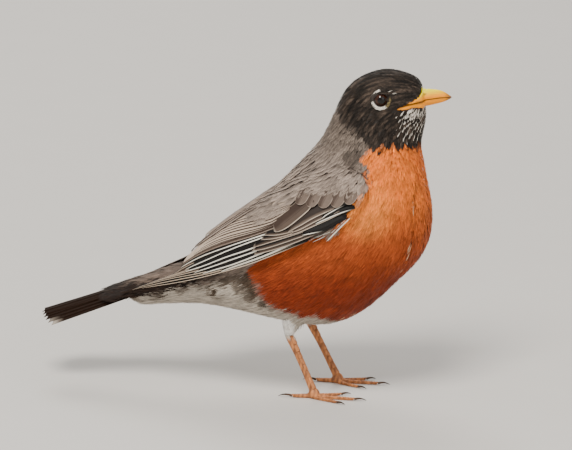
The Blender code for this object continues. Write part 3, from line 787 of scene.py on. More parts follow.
class PlumagePaint:
    """Colours of tufts: the markings with their painted light and shade at each tip, uneven from
    tuft to tuft and strand to strand.
    """

    def __init__(self, lie):
        self.lie = lie
        self.parting = curve(PARTING, 60)

    def streaks(self, points, width, seed):
        """A pattern drawn out along the lie of the coat."""
        place = self.lie.unwrap(points)
        flat = np.stack([place[:, 0] * self.lie.length / 7, place[:, 1] * 85 / width], axis=1)
        return mottle(np.concatenate([flat, 0 * flat[:, :1]], axis=1) * 2.2, 2.2, seed)

    def __call__(self, path, places, points):
        count, strands, per = places.shape[:3]
        middle = points[:, :, per // 2].reshape(-1, 3)
        seen = right_side(middle)
        x, z = seen[:, 0], seen[:, 2]
        stray = random.normal(0, 0.45, (count, 3)) * (1, 0, 1)
        tip = markings_with_painted_light(path[:, -2] * 0.8 + path[:, -3] * 0.2 + stray)
        colour = np.repeat(tip, strands, axis=0)
        # In the hood the strands' brightness varies far more: partly the feathers' own brown-grey
        # texture, partly painted sheen.
        dark_area = ramp(inside(HOOD_AREA, seen), -1, 2)
        spread = 0.06 + 0.22 * dark_area
        own = np.repeat(random.uniform(-1, 1, count), strands) * spread
        own += random.uniform(-1, 1, count * strands) * (0.11 + 0.30 * dark_area)
        own += self.streaks(middle, 1.5, 51) * (0.10 + 0.75 * dark_area)
        own += self.streaks(middle, 4.0, 52) * (0.06 + 0.45 * dark_area)
        colour = colour * np.exp(own)[:, None]
        chance = random.uniform(0, 1, count * strands)
        orange_part = inside(ORANGE_AREA, seen) > 0
        colour = repaint(orange_part & (chance < 0.07), colour * 0.72, colour)
        colour = repaint(orange_part & (chance > 0.94), colour * (1.25, 1.35, 1.5), colour)

        # White streaks down the throat, the white chin and the flecks before the eye.
        angle = self.lie.unwrap(middle)[:, 1] * 2 * math.pi * NECK_RADIUS
        line = (angle / STREAK_STEP + 0.18 * mottle(middle, 5, 61)) % 1
        share = 0.23 * ramp(x, 76.5, 82) * ramp(z, 127.5, 133)
        chin = np.hypot(x - CHIN[0], z - CHIN[1])
        share = np.maximum(share * (0.75 + 0.25 * ramp(z, 134, 142)), 0.68 * ramp(chin, 5.2, 2.8))
        share *= ramp(z, 147, 144.5) * ramp(inside(HOOD_AREA, seen), 0.3, 2)
        white = (line < share) & (random.uniform(0, 1, len(x)) < 0.85)
        near = np.min([np.hypot(x - fx, z - fz) for fx, fz in FLECKS], axis=0)
        white |= (near < 0.6) & (random.uniform(0, 1, len(x)) < 0.33)
        pale = linear(THROAT_WHITE) * random.uniform(0.7, 1.1, (len(x), 1))
        colour = repaint(white, pale, colour)

        # Along the breast's parting, pale strands on its line and dark ones beside it.
        part = np.full(len(x), 99.0)
        close = (middle[:, 1] < 2) & (x > 48) & (z < 116)
        gap = np.linalg.norm(middle[close][:, None] - self.parting[None], axis=-1)
        part[close] = gap.min(axis=1)
        chance = random.uniform(0, 1, len(x))
        colour = repaint((part < 1.1) & (chance < 0.30), linear(PARTING_PALE), colour)
        colour = repaint((part < 2.2) & (chance > 0.62), colour * 0.55, colour)
        # Darker towards the root: partly the feathers' grey bases, partly painted shade under the
        # coat above.
        along = 0.62 + 0.44 * places[..., 1] ** 1.4
        return colour.reshape(count, strands, 1, 3) * along[..., None]


class BackPaint(PlumagePaint):
    """Grey feathers of the back: darker in the middle, with painted shade at the root for the gaps
    between them, paler at the edges.
    """

    def __call__(self, path, places, points):
        count, strands, per = places.shape[:3]
        colour = markings_with_painted_light(path[:, -2])[:, None] * np.ones((1, strands, 1))
        middle = points[:, :, per // 2]
        streak = self.streaks(middle.reshape(-1, 3), 2.0, 53).reshape(count, strands)
        own = random.uniform(0.80, 1.16, (count, 1))
        own = own * random.uniform(0.93, 1.07, (count, strands))
        out = np.abs(places[:, :, 0, 0] * 2 - 1)
        edge = 0.72 + 0.22 * ramp(out, 0.0, 0.4) + 0.26 * ramp(out, 0.6, 1)
        own = own * (1 + 0.12 * streak) * edge
        along = places[..., 1]
        # Painted shade at the root, so that gaps between feathers show dark; paler towards the tip.
        root_shade_pale_tip = 0.50 + 0.46 * ramp(along, 0.1, 0.7) + 0.20 * ramp(along, 0.75, 1)
        return colour[:, :, None] * (own[..., None] * root_shade_pale_tip)[..., None]


# ---------------------------------------------------------------- wing and tail feathers

# The outer feathers are drawn as seen from 35 degrees above the side, the inner ones from above.
WING_SLANTS = (math.radians(35), math.radians(84))
EDGE_RAYS = 25  # across a feather, to find the wing's upper edge
FAR_OFF = 150


class WingChart:
    """A flat drawing of one side of the bird, laid on the envelope along slanted lines."""

    def __init__(self, surface, side, slant):
        self.surface, self.side = surface, side
        self.cos, self.sin = math.cos(slant), math.sin(slant)
        self.inward = np.array([0, -side * self.cos, -self.sin])

    def flat(self, points):
        """(x, out, z) points of the design as places in the drawing."""
        p = np.asarray(points, float)
        height = p[..., 2] * self.cos - p[..., 1] * self.sin
        return np.stack([p[..., 0], height], axis=-1)

    def lay(self, places):
        """Points and normals for places in the drawing.

        Past the lower edge of the wing a feather goes on flat; at the upper edge it narrows.
        """
        first, whole = places[:, :1], places[:, -1:] - places[:, :1]
        shares = np.linspace(0, 1, EDGE_RAYS)[:, None]
        hit = self.cast((first + whole * shares).reshape(-1, 2))[2].reshape(-1, EDGE_RAYS)
        room = np.where(hit, shares[:, 0], 0).max(axis=1)
        good = np.flatnonzero(room > 0)
        if len(good):
            room = np.interp(np.arange(len(room)), good, room[good])
            room = np.where(room < 1, 0.93 * room, 1)
            places = first + (places - first) * even_out(room)[:, None, None]
        flat = places.reshape(-1, 2)
        reach, normals, hit = self.cast(flat)
        known = np.flatnonzero(hit)
        for i in np.flatnonzero(~hit):
            near = known[((flat[known] - flat[i]) ** 2).sum(axis=1).argmin()]
            reach[i], normals[i] = reach[near], normals[near]
        reach = even_out(reach.reshape(*places.shape[:-1], 1))
        normals = unit(even_out(normals.reshape(*places.shape[:-1], 3)) - 0.8 * self.inward)
        return self.far(flat).reshape(*places.shape[:-1], 3) + self.inward * reach, normals

    def cast(self, flat):
        """How deep the surface is at each place, its normal, and whether there is any."""
        base = self.far(flat)
        spots, normals, hit = self.surface.cast(base - self.inward * FAR_OFF, self.inward)
        hit &= spots[:, 1] * self.side > -2.0
        return (spots - base) @ self.inward, normals, hit

    def far(self, flat):
        """Places of the drawing as points of the upright plane it is drawn on."""
        across = np.array([0, -self.side * self.sin, self.cos])
        return flat[:, :1] * (1, 0, 0) + flat[:, 1:] * across


def even_out(values):
    """Values along the rows of a feather with their sudden steps taken out."""
    for _ in range(8):
        first, last = 2 * values[:1] - values[1:2], 2 * values[-1:] - values[-2:-1]
        padded = np.concatenate([first, values, last])
        values = (padded[:-2] + 2 * padded[1:-1] + padded[2:]) / 4
    return values


FEATHER_ROWS = 15
FEATHER_CUP, FEATHER_THICKNESS = 0.05, 0.22
NO_WEB = 0.02  # the leading web of a feather whose line is its leading edge
SHOWN_WEB = 0.5  # a leading web wider than this shows beside the shaft


def shaft_place(lead, trail):
    """Where the shaft is, from the leading edge (0) to the trailing one (1)."""
    return lead / (lead + trail) if lead > SHOWN_WEB else 0.22


def feather_grid(lead, trail, rim, tip):
    """(v, across, offset) of a vane: offsets are plus towards the leading edge.

    Its columns stand at the places across: the rims, the shaft and the webs between them.
    """
    v = 1 - (1 - np.linspace(0, 1, FEATHER_ROWS)) ** 1.5
    body = np.where(v < 0.18, 0.45 + 0.55 * (v / 0.18) ** 0.6, 1.0)
    start = 1 - tip
    fall = np.clip((v - start) / tip, 0, 1)
    close = np.sqrt(np.clip(1 - fall**2.2, 0, 1))
    wide = body * np.maximum(close, 0.015)
    total = lead + trail
    edge = rim / total
    back = 1 - min(0.3, edge)
    if lead > SHOWN_WEB:
        shaft = lead / total
        edge = min(0.45 * shaft, edge)
        webs = (min(edge * 1.7, 0.9 * shaft), shaft, shaft + 0.3 * (1 - shaft),
                shaft + 0.65 * (1 - shaft))
        across = np.array([0, edge, *webs, back, 1])
    else:
        across = np.array([0, edge * 0.75, edge, edge * 1.3, 0.35, 0.6, back, 1])
    offset = lead - across * total
    return v, across, wide[:, None] * offset[None]


def wing_feather(chart, line, lead, trail, style):
    """One closed vane along a line of the design: its upper and lower points, v and across."""
    path = curve(chart.flat(line), FEATHER_ROWS * 4)
    run = np.concatenate([[0], np.cumsum(np.linalg.norm(np.diff(path, axis=0), axis=1))])
    v, across, offset = feather_grid(lead, trail, style["rim"], style["round"])
    spine = np.stack([np.interp(v * run[-1], run, path[:, k]) for k in range(2)], axis=1)
    offset = offset * (1 - style["taper"] * v[:, None])
    way = unit(np.gradient(spine, axis=0))
    down = np.stack([way[:, 1], -way[:, 0]], axis=1)
    down *= np.where(down[:, 1:2].mean() > 0, -1, 1)
    places = spine[:, None] + down[:, None] * offset[..., None]
    spots, tops = chart.lay(places)
    height = style["base"] + style["rise"] * v[:, None] ** 0.8 + style["tilt"] * (1 - across)[None]
    height = height + FEATHER_CUP * (1 - (2 * across - 1) ** 2)[None]
    upper = spots + tops * height[..., None]
    return upper, upper - tops * FEATHER_THICKNESS, v, across


def feather_colours(v, across, lead, trail, style):
    """Each web's colour, the dark shaft side, and the pale edges."""
    before = across[None, :, None] < shaft_place(lead, trail) + 1e-6
    web = np.where(before, linear(style["outer"]), linear(style["inner"]))
    colours = np.broadcast_to(web, (len(v), len(across), 3)).copy()
    colours *= (0.80 + 0.20 * ramp(v, 0.0, 0.7))[:, None, None]
    rim = linear(style["edge"])
    strength = ramp(v, *style["edge_from"])
    if lead > SHOWN_WEB:
        colours[:, 0] = mix(colours[:, 0], rim, strength)
        colours[:, 1] = mix(colours[:, 1], rim, strength * style["edge_fill"])
        colours[:, -1] = mix(colours[:, -1], rim, 0.7 * strength)
    else:
        colours[:, :2] = mix(colours[:, :2], rim, strength[:, None])
        colours[:, 2] = mix(colours[:, 2], rim, strength * style["edge_fill"])
        # A dark line along the leading edge: partly the darker web, partly painted shadow between
        # stacked feathers.
        if style["border"]:
            colours[:, :2] = linear(style["border"])
    tip = ramp(v, 0.95, 1.0) * style["tip_edge"]
    return mix(colours, rim, np.broadcast_to(tip[:, None], colours.shape[:2]))


class Feathers:
    """Collects closed vanes for one joined piece."""

    def __init__(self):
        self.parts, self.tints, self.places = [], [], []

    def add(self, upper, lower, colours, v, across, shaft):
        """One closed form from grids of its upper and lower points."""
        rows, cols = upper.shape[:2]
        index = np.arange(rows * cols).reshape(rows, cols)
        top = np.stack([index[:-1, :-1], index[:-1, 1:], index[1:, 1:], index[1:, :-1]], axis=-1)
        top = top.reshape(-1, 4)
        rim = np.concatenate([index[0, :-1], index[:-1, -1], index[-1, :0:-1], index[:0:-1, 0]])
        after = np.roll(rim, -1)
        half = rows * cols
        side = np.stack([rim, rim + half, after + half, after], axis=1)
        bottom = top[:, ::-1] + half
        points = np.concatenate([upper.reshape(-1, 3), lower.reshape(-1, 3)])
        self.parts.append((points, np.concatenate([top, bottom, side])))
        self.tints.append(np.concatenate([colours.reshape(-1, 3)] * 2))
        # The shaft is at 0.5 of the place, however narrow the leading web is.
        centred = np.interp(across, (0, shaft, 1), (0, 0.5, 1))
        grid = np.stack(np.broadcast_arrays(centred[None], v[:, None]), axis=-1)
        self.places.append(np.concatenate([grid.reshape(-1, 2)] * 2))

    def mesh(self, name):
        points, quads = merge(self.parts)
        mesh = fill_mesh(name, points, [quads])
        add_tint(mesh, np.vstack(self.tints))
        return mesh

    def piece(self, name, fabric, nodes):
        mesh = self.mesh(name)
        add_uv(mesh, "vane", np.vstack(self.places))
        side = math.ceil(math.sqrt(len(self.places)))
        cells = [
            (np.array([i % side, i // side]) + 0.08 + 0.84 * place) / side
            for i, place in enumerate(self.places)
        ]
        add_uv(mesh, "OFBake", np.vstack(cells))
        fix_winding(mesh)
        finish_piece(mesh, name, fabric, nodes)


def fix_winding(mesh):
    """Turns the faces of closed shapes outwards."""
    work = bmesh.new()
    work.from_mesh(mesh)
    bmesh.ops.recalc_face_normals(work, faces=work.faces)
    work.to_mesh(mesh)
    work.free()


# A feather's height over the envelope at its root, how much it rises towards its tip and towards
# its leading edge, how wide its rim is, how much of it is the rounded tip, how much it narrows;
# its webs' colours, its rim's, where the rim's colour starts, how far that fills the second
# column and the tip, and the dark line along the leading edge: dark web and painted shadow.
STYLE = {
    "base": -1.1, "rise": 0.0, "tilt": 0.7, "rim": 0.5, "round": 0.2, "taper": 0.0,
    "outer": FLIGHT, "inner": FLIGHT, "edge": FLIGHT_RIM, "edge_from": (0.0, 0.2),
    "edge_fill": 0.9, "tip_edge": 0.0, "border": None,
}

DARK_PRIMARIES = 3  # the lowest ones
# Each feather: the width of its trailing web, and then x, out and z of the points of its line
# from the root to the tip. Where it has no leading web, that line is the leading edge itself.
# Feathers are listed from the lowest layer to the top one.
PRIMARY_LINES = [
    (5, 40, 34.5, 82.8, 22, 32.6, 74.4, 7, 30, 67.6, -20, 24.6, 58.8, -47, 17.2, 51),
    (5.6, 41, 35, 84.4, 20, 33, 74.8, -5.4, 27.4, 64.2, -32, 20.6, 56, -52, 16.4, 50.2),
    (5.6, 41, 35, 85.4, 14.1, 33, 74.3, -8, 27.1, 64.4, -33, 20.4, 57, -50, 16.8, 51.4),
    (5.6, 40, 35.4, 86.2, 12.6, 33.4, 76.6, -10, 27.3, 66, -34, 20.6, 57.8, -46, 17.8, 53.4),
    (5.4, 38, 35.3, 87, 10.8, 33, 77.9, -14, 26.3, 66.2, -32, 21, 59, -41, 19, 56),
    (5.2, 36, 34.6, 88, 12, 32.6, 80, -14, 26.3, 67.2, -36, 20, 58),
    (5, 36, 34.2, 90, 10, 31, 80.5, -12, 25.6, 70.6, -23, 22, 64.6, -30.5, 20.4, 59.8),
    (5, 35, 34, 91.5, 10, 30.4, 82, -12, 24.8, 72, -20, 22, 67.2, -25.6, 20.8, 63.8),
]
SECONDARY_LINES = [
    (5.5, 38, 35.6, 84.6, 19.7, 32.9, 74.9, 9.8, 30.8, 70.3, -0.3, 28.2, 65.8, -6.6, 26.9, 63.2),
    (5.8, 38, 35.6, 85.8, 14.1, 33, 74.6, 2, 29.8, 68.4, -8.1, 27.1, 64.4, -15, 25.2, 61.8),
    (6, 38, 35.4, 87.4, 12.6, 33.4, 76.6, 1.5, 31, 71.6, -10, 27.3, 65.9, -19.4, 24.2, 61.8),
    (6.2, 36, 34.8, 88.4, 10.8, 33, 77.9, -1.8, 29.7, 72.2, -14, 26.3, 66.1, -24.4, 22.9, 61.8),
    (6.4, 36, 34.6, 91, 13.9, 32.4, 82.4, -1.9, 29.3, 75.1, -11.6, 26.7, 69.8, -24.2, 22.6, 62.8),
    (6.6, 36, 34.2, 92, 14.4, 32.2, 84, -4, 27.6, 76, -15.5, 23.4, 70, -26.4, 21.2, 63.8),
]
TERTIAL_LINES = [  # the rim's width comes first
    (0.6, 8, 34, 33.4, 93.4, 14.9, 32, 85, -5.6, 26.2, 76.4, -17, 22.2, 70.2, -26, 20.6, 64.4),
    (0.75, 8.6, 34, 33.4, 94.6, 15.4, 31.6, 86.2, -6.6, 25.2, 77.2, -18.1, 21.5, 70.7, -26, 20.2,
     65.4),
    (0.75, 9, 33, 33, 95.4, 16.6, 31.8, 87, -5.6, 25.2, 78.2, -17, 21.2, 71.6, -24.4, 20.2, 66.8),
    (0.75, 9.4, 32, 32.6, 96.8, 17.8, 31.8, 88.2, -4.6, 25, 79.6, -16, 20.8, 73, -22.6, 19.8, 68.4),
    (0.75, 9.8, 31, 32.2, 97.6, 19.3, 31.6, 89.4, -3.6, 24.4, 80.8, -14.6, 20.2, 74.4, -20.4, 19.2,
     70.2),
    (0.75, 10.4, 30, 32, 98.6, 20.3, 31.2, 91, -2.7, 23.2, 82.4, -13, 19, 76.2, -18, 17.8, 72.6),
    (0.7, 10.4, 30, 31.5, 99, 19.7, 29.9, 91.8, -2, 21.8, 83.4, -12, 17.8, 77.4, -17, 16.8, 74),
    (0.7, 10.4, 30, 31, 99.3, 19.1, 28.6, 92.5, -1.3, 20.4, 84.3, -11, 16.7, 78.5, -16, 15.8, 75.2),
    (0.7, 10.4, 30, 30.5, 99.7, 18.6, 27.3, 93.2, -0.7, 19, 85.3, -10, 15.5, 79.7, -14.8, 14.8,
     76.5),
    (0.75, 12, 30, 30, 100, 18, 26, 94, 0, 17.6, 86.2, -9, 14.4, 80.8, -13.6, 13.8, 77.8),
]
INNER_TERTIAL_LINES = [
    (7, 14, 21, 95, -2, 18.6, 84, -13, 16.6, 72, -22.4, 14.9, 68),
    (7, 14, 18.6, 97, -2, 15.8, 87, -12.5, 13.4, 74, -21.4, 11.6, 69),
    (7, 13, 15.6, 98, -3, 12.8, 87, -12, 10.8, 79, -19.2, 8.9, 71),
    (6, 11, 12.6, 98, -2, 10.2, 88, -8.5, 8.9, 82, -14.6, 7.5, 76),
]
STACK_LINES = [  # the stack of coverts over the secondaries' bases
    (4.4, 44, 36, 87.6, 29.8, 35.6, 81.2, 17.7, 33.7, 76.4, 12.6, 33, 75),
    (4.4, 44, 36, 89, 28.2, 35.4, 82.4, 17.4, 34.2, 78.3, 11.6, 33.2, 77),
    (4.4, 44, 35.6, 90.6, 27, 34.8, 84.2, 17, 33.5, 80.2, 12, 33, 78.6),
    (4.4, 44, 35.4, 92, 30, 35, 86.2, 22, 34.2, 83.6, 16, 33, 82.6),
    (4.6, 44, 35.2, 93.4, 33, 35, 88.4, 24.4, 34.2, 85.6, 17.4, 32.8, 84.8),
]
COVERT_LINES = [
    (2.8, 56, 34, 98.2, 46, 34.9, 93, 36, 35.4, 88, 31, 35, 86.4),
    (3.2, 55, 33.9, 99, 45, 34.8, 94.4, 36.6, 35.3, 89.6, 31.6, 34.9, 87.4),
    (5.2, 53, 33.8, 100.4, 43, 34.7, 95.6, 36.1, 35, 91.2, 29.6, 34.7, 87.4),
]
BIG_COVERT = (41.5, 31.6, 103.6, 34.6, 33, 97.4, 28.4, 33.2, 92, 22.6, 33.4, 87.4)
ALULA_LINES = [  # where the pale rim starts and where it is full come first
    (0.55, 0.85, 4.6, 59, 33.2, 95.6, 48.6, 35.7, 90, 42.6, 35.8, 87.9, 37, 35.5, 86.4),
    (0.05, 0.3, 3, 62.4, 32.6, 100.6, 56, 33.6, 98.2, 50, 34.4, 95.6, 43.4, 35, 92.4),
    (0.3, 0.7, 2.4, 62.4, 32.2, 103.4, 56, 33.2, 101, 50, 34, 97.6, 46.4, 34.6, 95.2),
]
MEDIAN_LINES = [  # both webs have this width
    (3.2, 37.8, 28.8, 109.8, 34.4, 32.4, 101),
    (3.4, 43.6, 29.2, 109.6, 39.8, 32.8, 99.9),
    (3.5, 50, 29.8, 110, 45.8, 33.4, 100),
    (3.5, 56.6, 30, 110.4, 51.8, 33.5, 100.8),
    (3, 62.6, 30, 110, 57.8, 32.8, 102.6),
]
STREAKS = [  # loose white barbs at the wing's bend
    (0.5, 60, 33, 96, 55, 33.2, 90.8, 48.3, 32.6, 83.6),
    (0.36, 58, 33, 95.2, 54.4, 33.2, 91.8, 50.6, 33, 87.8),
    (0.26, 50.4, 33.4, 88.6, 46, 33.6, 86.8, 43.6, 33, 85.2),
    (0.24, 47.6, 33.2, 86.2, 45, 33.2, 84.8, 41.4, 32.6, 82.8),
    (0.2, 45.2, 33, 86.6, 42.6, 33, 85.2, 39.6, 32.4, 83.2),
]


def web(colour):
    """The style of a feather with both webs of one colour."""
    return {"outer": colour, "inner": colour}


def add_streaks(group, side):
    """Loose barbs as thin strips that stand free of the wing."""
    out = np.array([0.15, side * 0.9, 0.3])
    v, across = np.linspace(0, 1, FEATHER_ROWS), np.linspace(0, 1, 3)
    wide = np.sqrt(np.clip(1 - (2 * v - 1) ** 4, 0.01, 1))
    for width, *line in STREAKS:
        path = curve(np.reshape(line, (-1, 3)) * (1, side, 1), FEATHER_ROWS)
        edge = unit(np.cross(unit(np.gradient(path, axis=0)), out))
        offset = (across - 0.5) * (width * wide)[:, None]
        upper = path[:, None] + edge[:, None] * offset[..., None] + out * 0.9
        colours = np.tile(linear(FLIGHT_RIM), (*upper.shape[:2], 1))
        group.add(upper, upper - out * 0.2, colours, v, across, 0.5)


def add_wing_feathers(label, side, surface, fabric, nodes):
    """The folded wing, from the primaries up to the median coverts."""
    outer_chart, top_chart = (WingChart(surface, side, slant) for slant in WING_SLANTS)
    group = Feathers()

    def place(line, trail, lead=NO_WEB, chart=outer_chart, **changes):
        """One feather, with what differs from the plain style."""
        style = {**STYLE, **changes}
        line = np.reshape(line, (-1, 3))
        upper, lower, v, across = wing_feather(chart, line, lead, trail, style)
        colours = feather_colours(v, across, lead, trail, style)
        group.add(upper, lower, colours, v, across, shaft_place(lead, trail))

    for k, (trail, *line) in enumerate(PRIMARY_LINES):
        place(line, trail, base=-1.0, tilt=0.6, round=0.16, edge=PRIMARY_RIM, taper=0.7,
              **web(FLIGHT if k < DARK_PRIMARIES else UPPER_PRIMARY))
    for trail, *line in SECONDARY_LINES:
        place(line, trail, base=-0.9, tilt=0.8, rim=0.58, edge_from=(0.05, 0.3), taper=0.4)
    # The lowest tertial takes the darker copy of the tertials' colour: painted shade.
    for k, (rim, trail, *line) in enumerate(TERTIAL_LINES):
        place(line, trail, base=-0.8, tilt=0.8, edge=TERTIAL_RIM, rim=rim, round=0.34,
              border=TERTIAL_DARK_AND_SHADOW_LINE, taper=0.3, **web(TERTIAL_LIT if k else TERTIAL_SHADED))
    for trail, *line in INNER_TERTIAL_LINES:
        place(line, trail, chart=top_chart, base=-0.3, rise=0.4, tilt=0.5, edge=TERTIAL_RIM,
              rim=0.9, round=0.3, tip_edge=0.8, border=TERTIAL_DARK_AND_SHADOW_LINE, taper=0.2,
              **web(INNER_TERTIAL))
    for trail, *line in STACK_LINES:
        place(line, trail, base=-0.6, tilt=0.8, outer=FLIGHT_WEB, rim=0.30, edge=STACK_RIM,
              round=0.22, tip_edge=0.6)
    for inner, (trail, *line) in zip(COVERT_INNER_WEBS, COVERT_LINES):
        place(line, trail, base=-0.3, tilt=0.8, outer=COVERT_WEB, inner=inner, edge=COVERT_RIM,
              rim=0.28, round=0.3)
    place(BIG_COVERT, 5.2, lead=2.9, base=-0.2, tilt=0.8, edge=COVERT_RIM, rim=0.30, round=0.42,
          tip_edge=0.6, **BIG_COVERT_WEBS)
    for low, high, trail, *line in ALULA_LINES:
        place(line, trail, base=-0.1, tilt=0.8, edge_from=(low, high), rim=0.34, round=0.25)
    add_streaks(group, side)
    for half, *line in MEDIAN_LINES:
        place(line, half, lead=half, base=-0.5, rise=1.0, tilt=0.35, rim=0.30, round=0.45,
              tip_edge=0.7, edge_fill=0.2, **MEDIAN_WEBS)
    group.piece(f"flight_feathers_{label}", fabric, nodes)


def add_tail_feathers(fabric):
    """Twelve rectrices in a shallow roof, the middle pair on top."""
    points, _ = node_arrays("tail")
    low, high = points.min(axis=0), points.max(axis=0)
    tip = points[points[:, 0] < low[0] + 2]
    root = points[points[:, 0] > high[0] - 6]
    middle_y = (low[1] + high[1]) / 2
    start = np.array([high[0] + 6, middle_y, root[:, 2].max() + 1.6])
    end = np.array([low[0] + 0.2, middle_y, tip[:, 2].max() - 0.3])
    length = np.linalg.norm(end - start)
    way = unit(end - start)
    roll = math.radians(7)
    side = np.array([0, math.cos(roll), math.sin(roll)])
    up = np.cross(way, side)
    up *= np.sign(up[2])
    style = {**STYLE, **web(TAIL), "edge": TAIL_RIM, "edge_fill": 0.2}
    group = Feathers()
    pairs = 6
    for step in range(pairs - 1, -1, -1):
        reach = (step + 1) / pairs
        root_edge, tip_edge = 8.6 * reach, 14.2 * reach
        shorter = 6.5 * reach**2
        for hand in (1, -1):
            v, across, offset = feather_grid(NO_WEB, 7.6 + 2.4 * reach, 0.45, 0.06)
            outer = root_edge + (tip_edge - root_edge) * v
            place = hand * (outer[:, None] + offset)
            drop = -np.abs(place / 14.5) ** 1.4 * (5.0 - 1.2 * v[:, None])
            height = drop - 0.22 * step + 0.35 * (1 - across)[None] - 0.3
            run = v * (length - shorter)
            upper = start + way * run[:, None, None] + side * place[..., None]
            upper = upper + up * height[..., None]
            colours = feather_colours(v, across, NO_WEB, 7.6, style)
            if step >= pairs - 2:
                corner = ramp(v, 0.92, 0.98) * (0.8 if step == pairs - 1 else 0.4)
                corner = np.broadcast_to(corner[:, None], colours.shape[:2])
                colours = mix(colours, linear(TAIL_CORNER), corner)
            group.add(upper, upper - up * 0.25, colours, v, across, 0.3)
    group.piece("tail_feathers", fabric, ["tail"])


BED_END = -14  # behind this x the wing bed is drawn in lengthwise


def add_wing_bed(label, fabric):
    """The wing below its outer vanes: the solids' shape drawn in a little.

    The primaries' thin blade has none: their vanes alone make it.
    """
    nodes = [f"wing_coverts_{label}", f"wing_secondaries_{label}"]
    mesh = envelope(nodes, -1.5, 0.7, 3)
    points, normals = points_of(mesh)
    points -= normals * 1.2 * ramp(points[:, :1], 38, 50)
    points[:, 0] = np.maximum(points[:, 0], BED_END + 0.45 * (points[:, 0] - BED_END))
    move_points(mesh, points)
    top = mix(linear(SHOULDER_BED), linear(INNER_TERTIAL), ramp(points[:, 0], 30, 8))
    add_tint(mesh, mix(linear(WING_SHADE), top, ramp(normals[:, 2], -0.2, 0.5)))
    add_uv(mesh, "vane", np.stack([points[:, 2] / 20 % 1, points[:, 0] / 60 % 1], axis=1))
    add_uv(mesh, "OFBake", (points[:, ::2] + (70, -30)) / 150)
    finish_piece(mesh, f"wing_bed_{label}", fabric, nodes)


# ---------------------------------------------------------------- head, bill and eyes

LID_RADIUS = 3.35
LID_STEPS, LID_SIDES = 72, 10
EYE_HOLLOW = 6.5  # the skin is hollowed for the eye up to this radius
EYE_LOOK = (0.15, 0.985)  # ahead and sideways, before the head's turn
EYE_SHIFT = (-0.8, -0.1, -1.35)  # ahead, sideways and up from the middle of the CAD eye
# The bill from its gape to the tip: distance to the tip, height of the closed mouth above the
# tip, culmen above it, gonys below it, half width.
BILL_ROWS = [
    (28.4, -3.9, 3.0, 1.0, 7.5), (26.6, -3.2, 3.6, 1.4, 7.5), (24.6, -2.2, 4.4, 1.8, 7.2),
    (21.3, -1.4, 5.0, 2.4, 6.4), (17.6, -0.9, 5.0, 3.0, 5.4), (13.9, -0.65, 4.6, 3.5, 4.4),
    (10.4, -0.3, 4.0, 3.3, 3.55), (7.1, 0.0, 3.4, 2.8, 2.75), (4.8, 0.15, 2.7, 2.35, 2.1),
    (3.0, 0.15, 1.9, 1.75, 1.5), (1.1, 0.1, 0.8, 0.8, 0.7), (0.0, 0.0, 0.1, 0.1, 0.1),
]
# Where the horn shows on the side of the head, in the side view (x, z).
BILL_AREA = [
    (76.6, 144.8), (79.1, 145.9), (81.6, 147.3), (84.1, 148.4), (85.9, 149.3), (87.6, 150.5),
    (88.4, 152.6), (92, 157), (120, 157), (120, 138), (93, 140.5), (89.6, 143.9), (87.2, 144.9),
    (84.2, 144.9), (80.7, 144.5),
]
HUG_FROM = 11.5  # the bill meets the cheek from this distance to its tip
NOSTRIL_AT = 13.2
NOSTRIL_ANGLE = 0.72

def bill_tip():
    """The foremost point of the CAD bill."""
    points = np.vstack([node_arrays("bill_upper")[0], node_arrays("bill_lower")[0]])
    return points[points[:, 0].argmax()]


def hug(surface, middle, ring, start):
    """Moves a bill's ring on to the cheek where the horn shows, and under the skin elsewhere."""
    out = ring - middle
    own = np.linalg.norm(out, axis=-1)
    way = out / np.maximum(own, 1e-6)[:, None]
    for i, direction in enumerate(way):
        spot = surface.tree.ray_cast(Vector(middle + direction * 40), Vector(-direction))[0]
        if spot is None:
            continue
        reach = np.linalg.norm(np.array(spot) - middle)
        shown = ramp(inside(BILL_AREA, right_side(np.array(spot)[None])), -0.35, 0.25)[0]
        hidden = own[i] if own[i] > reach else min(own[i], reach - 1.3)
        target = hidden + (max(own[i], reach + 0.32) - hidden) * shown
        ring[i] = middle + direction * (own[i] + (target - own[i]) * start)


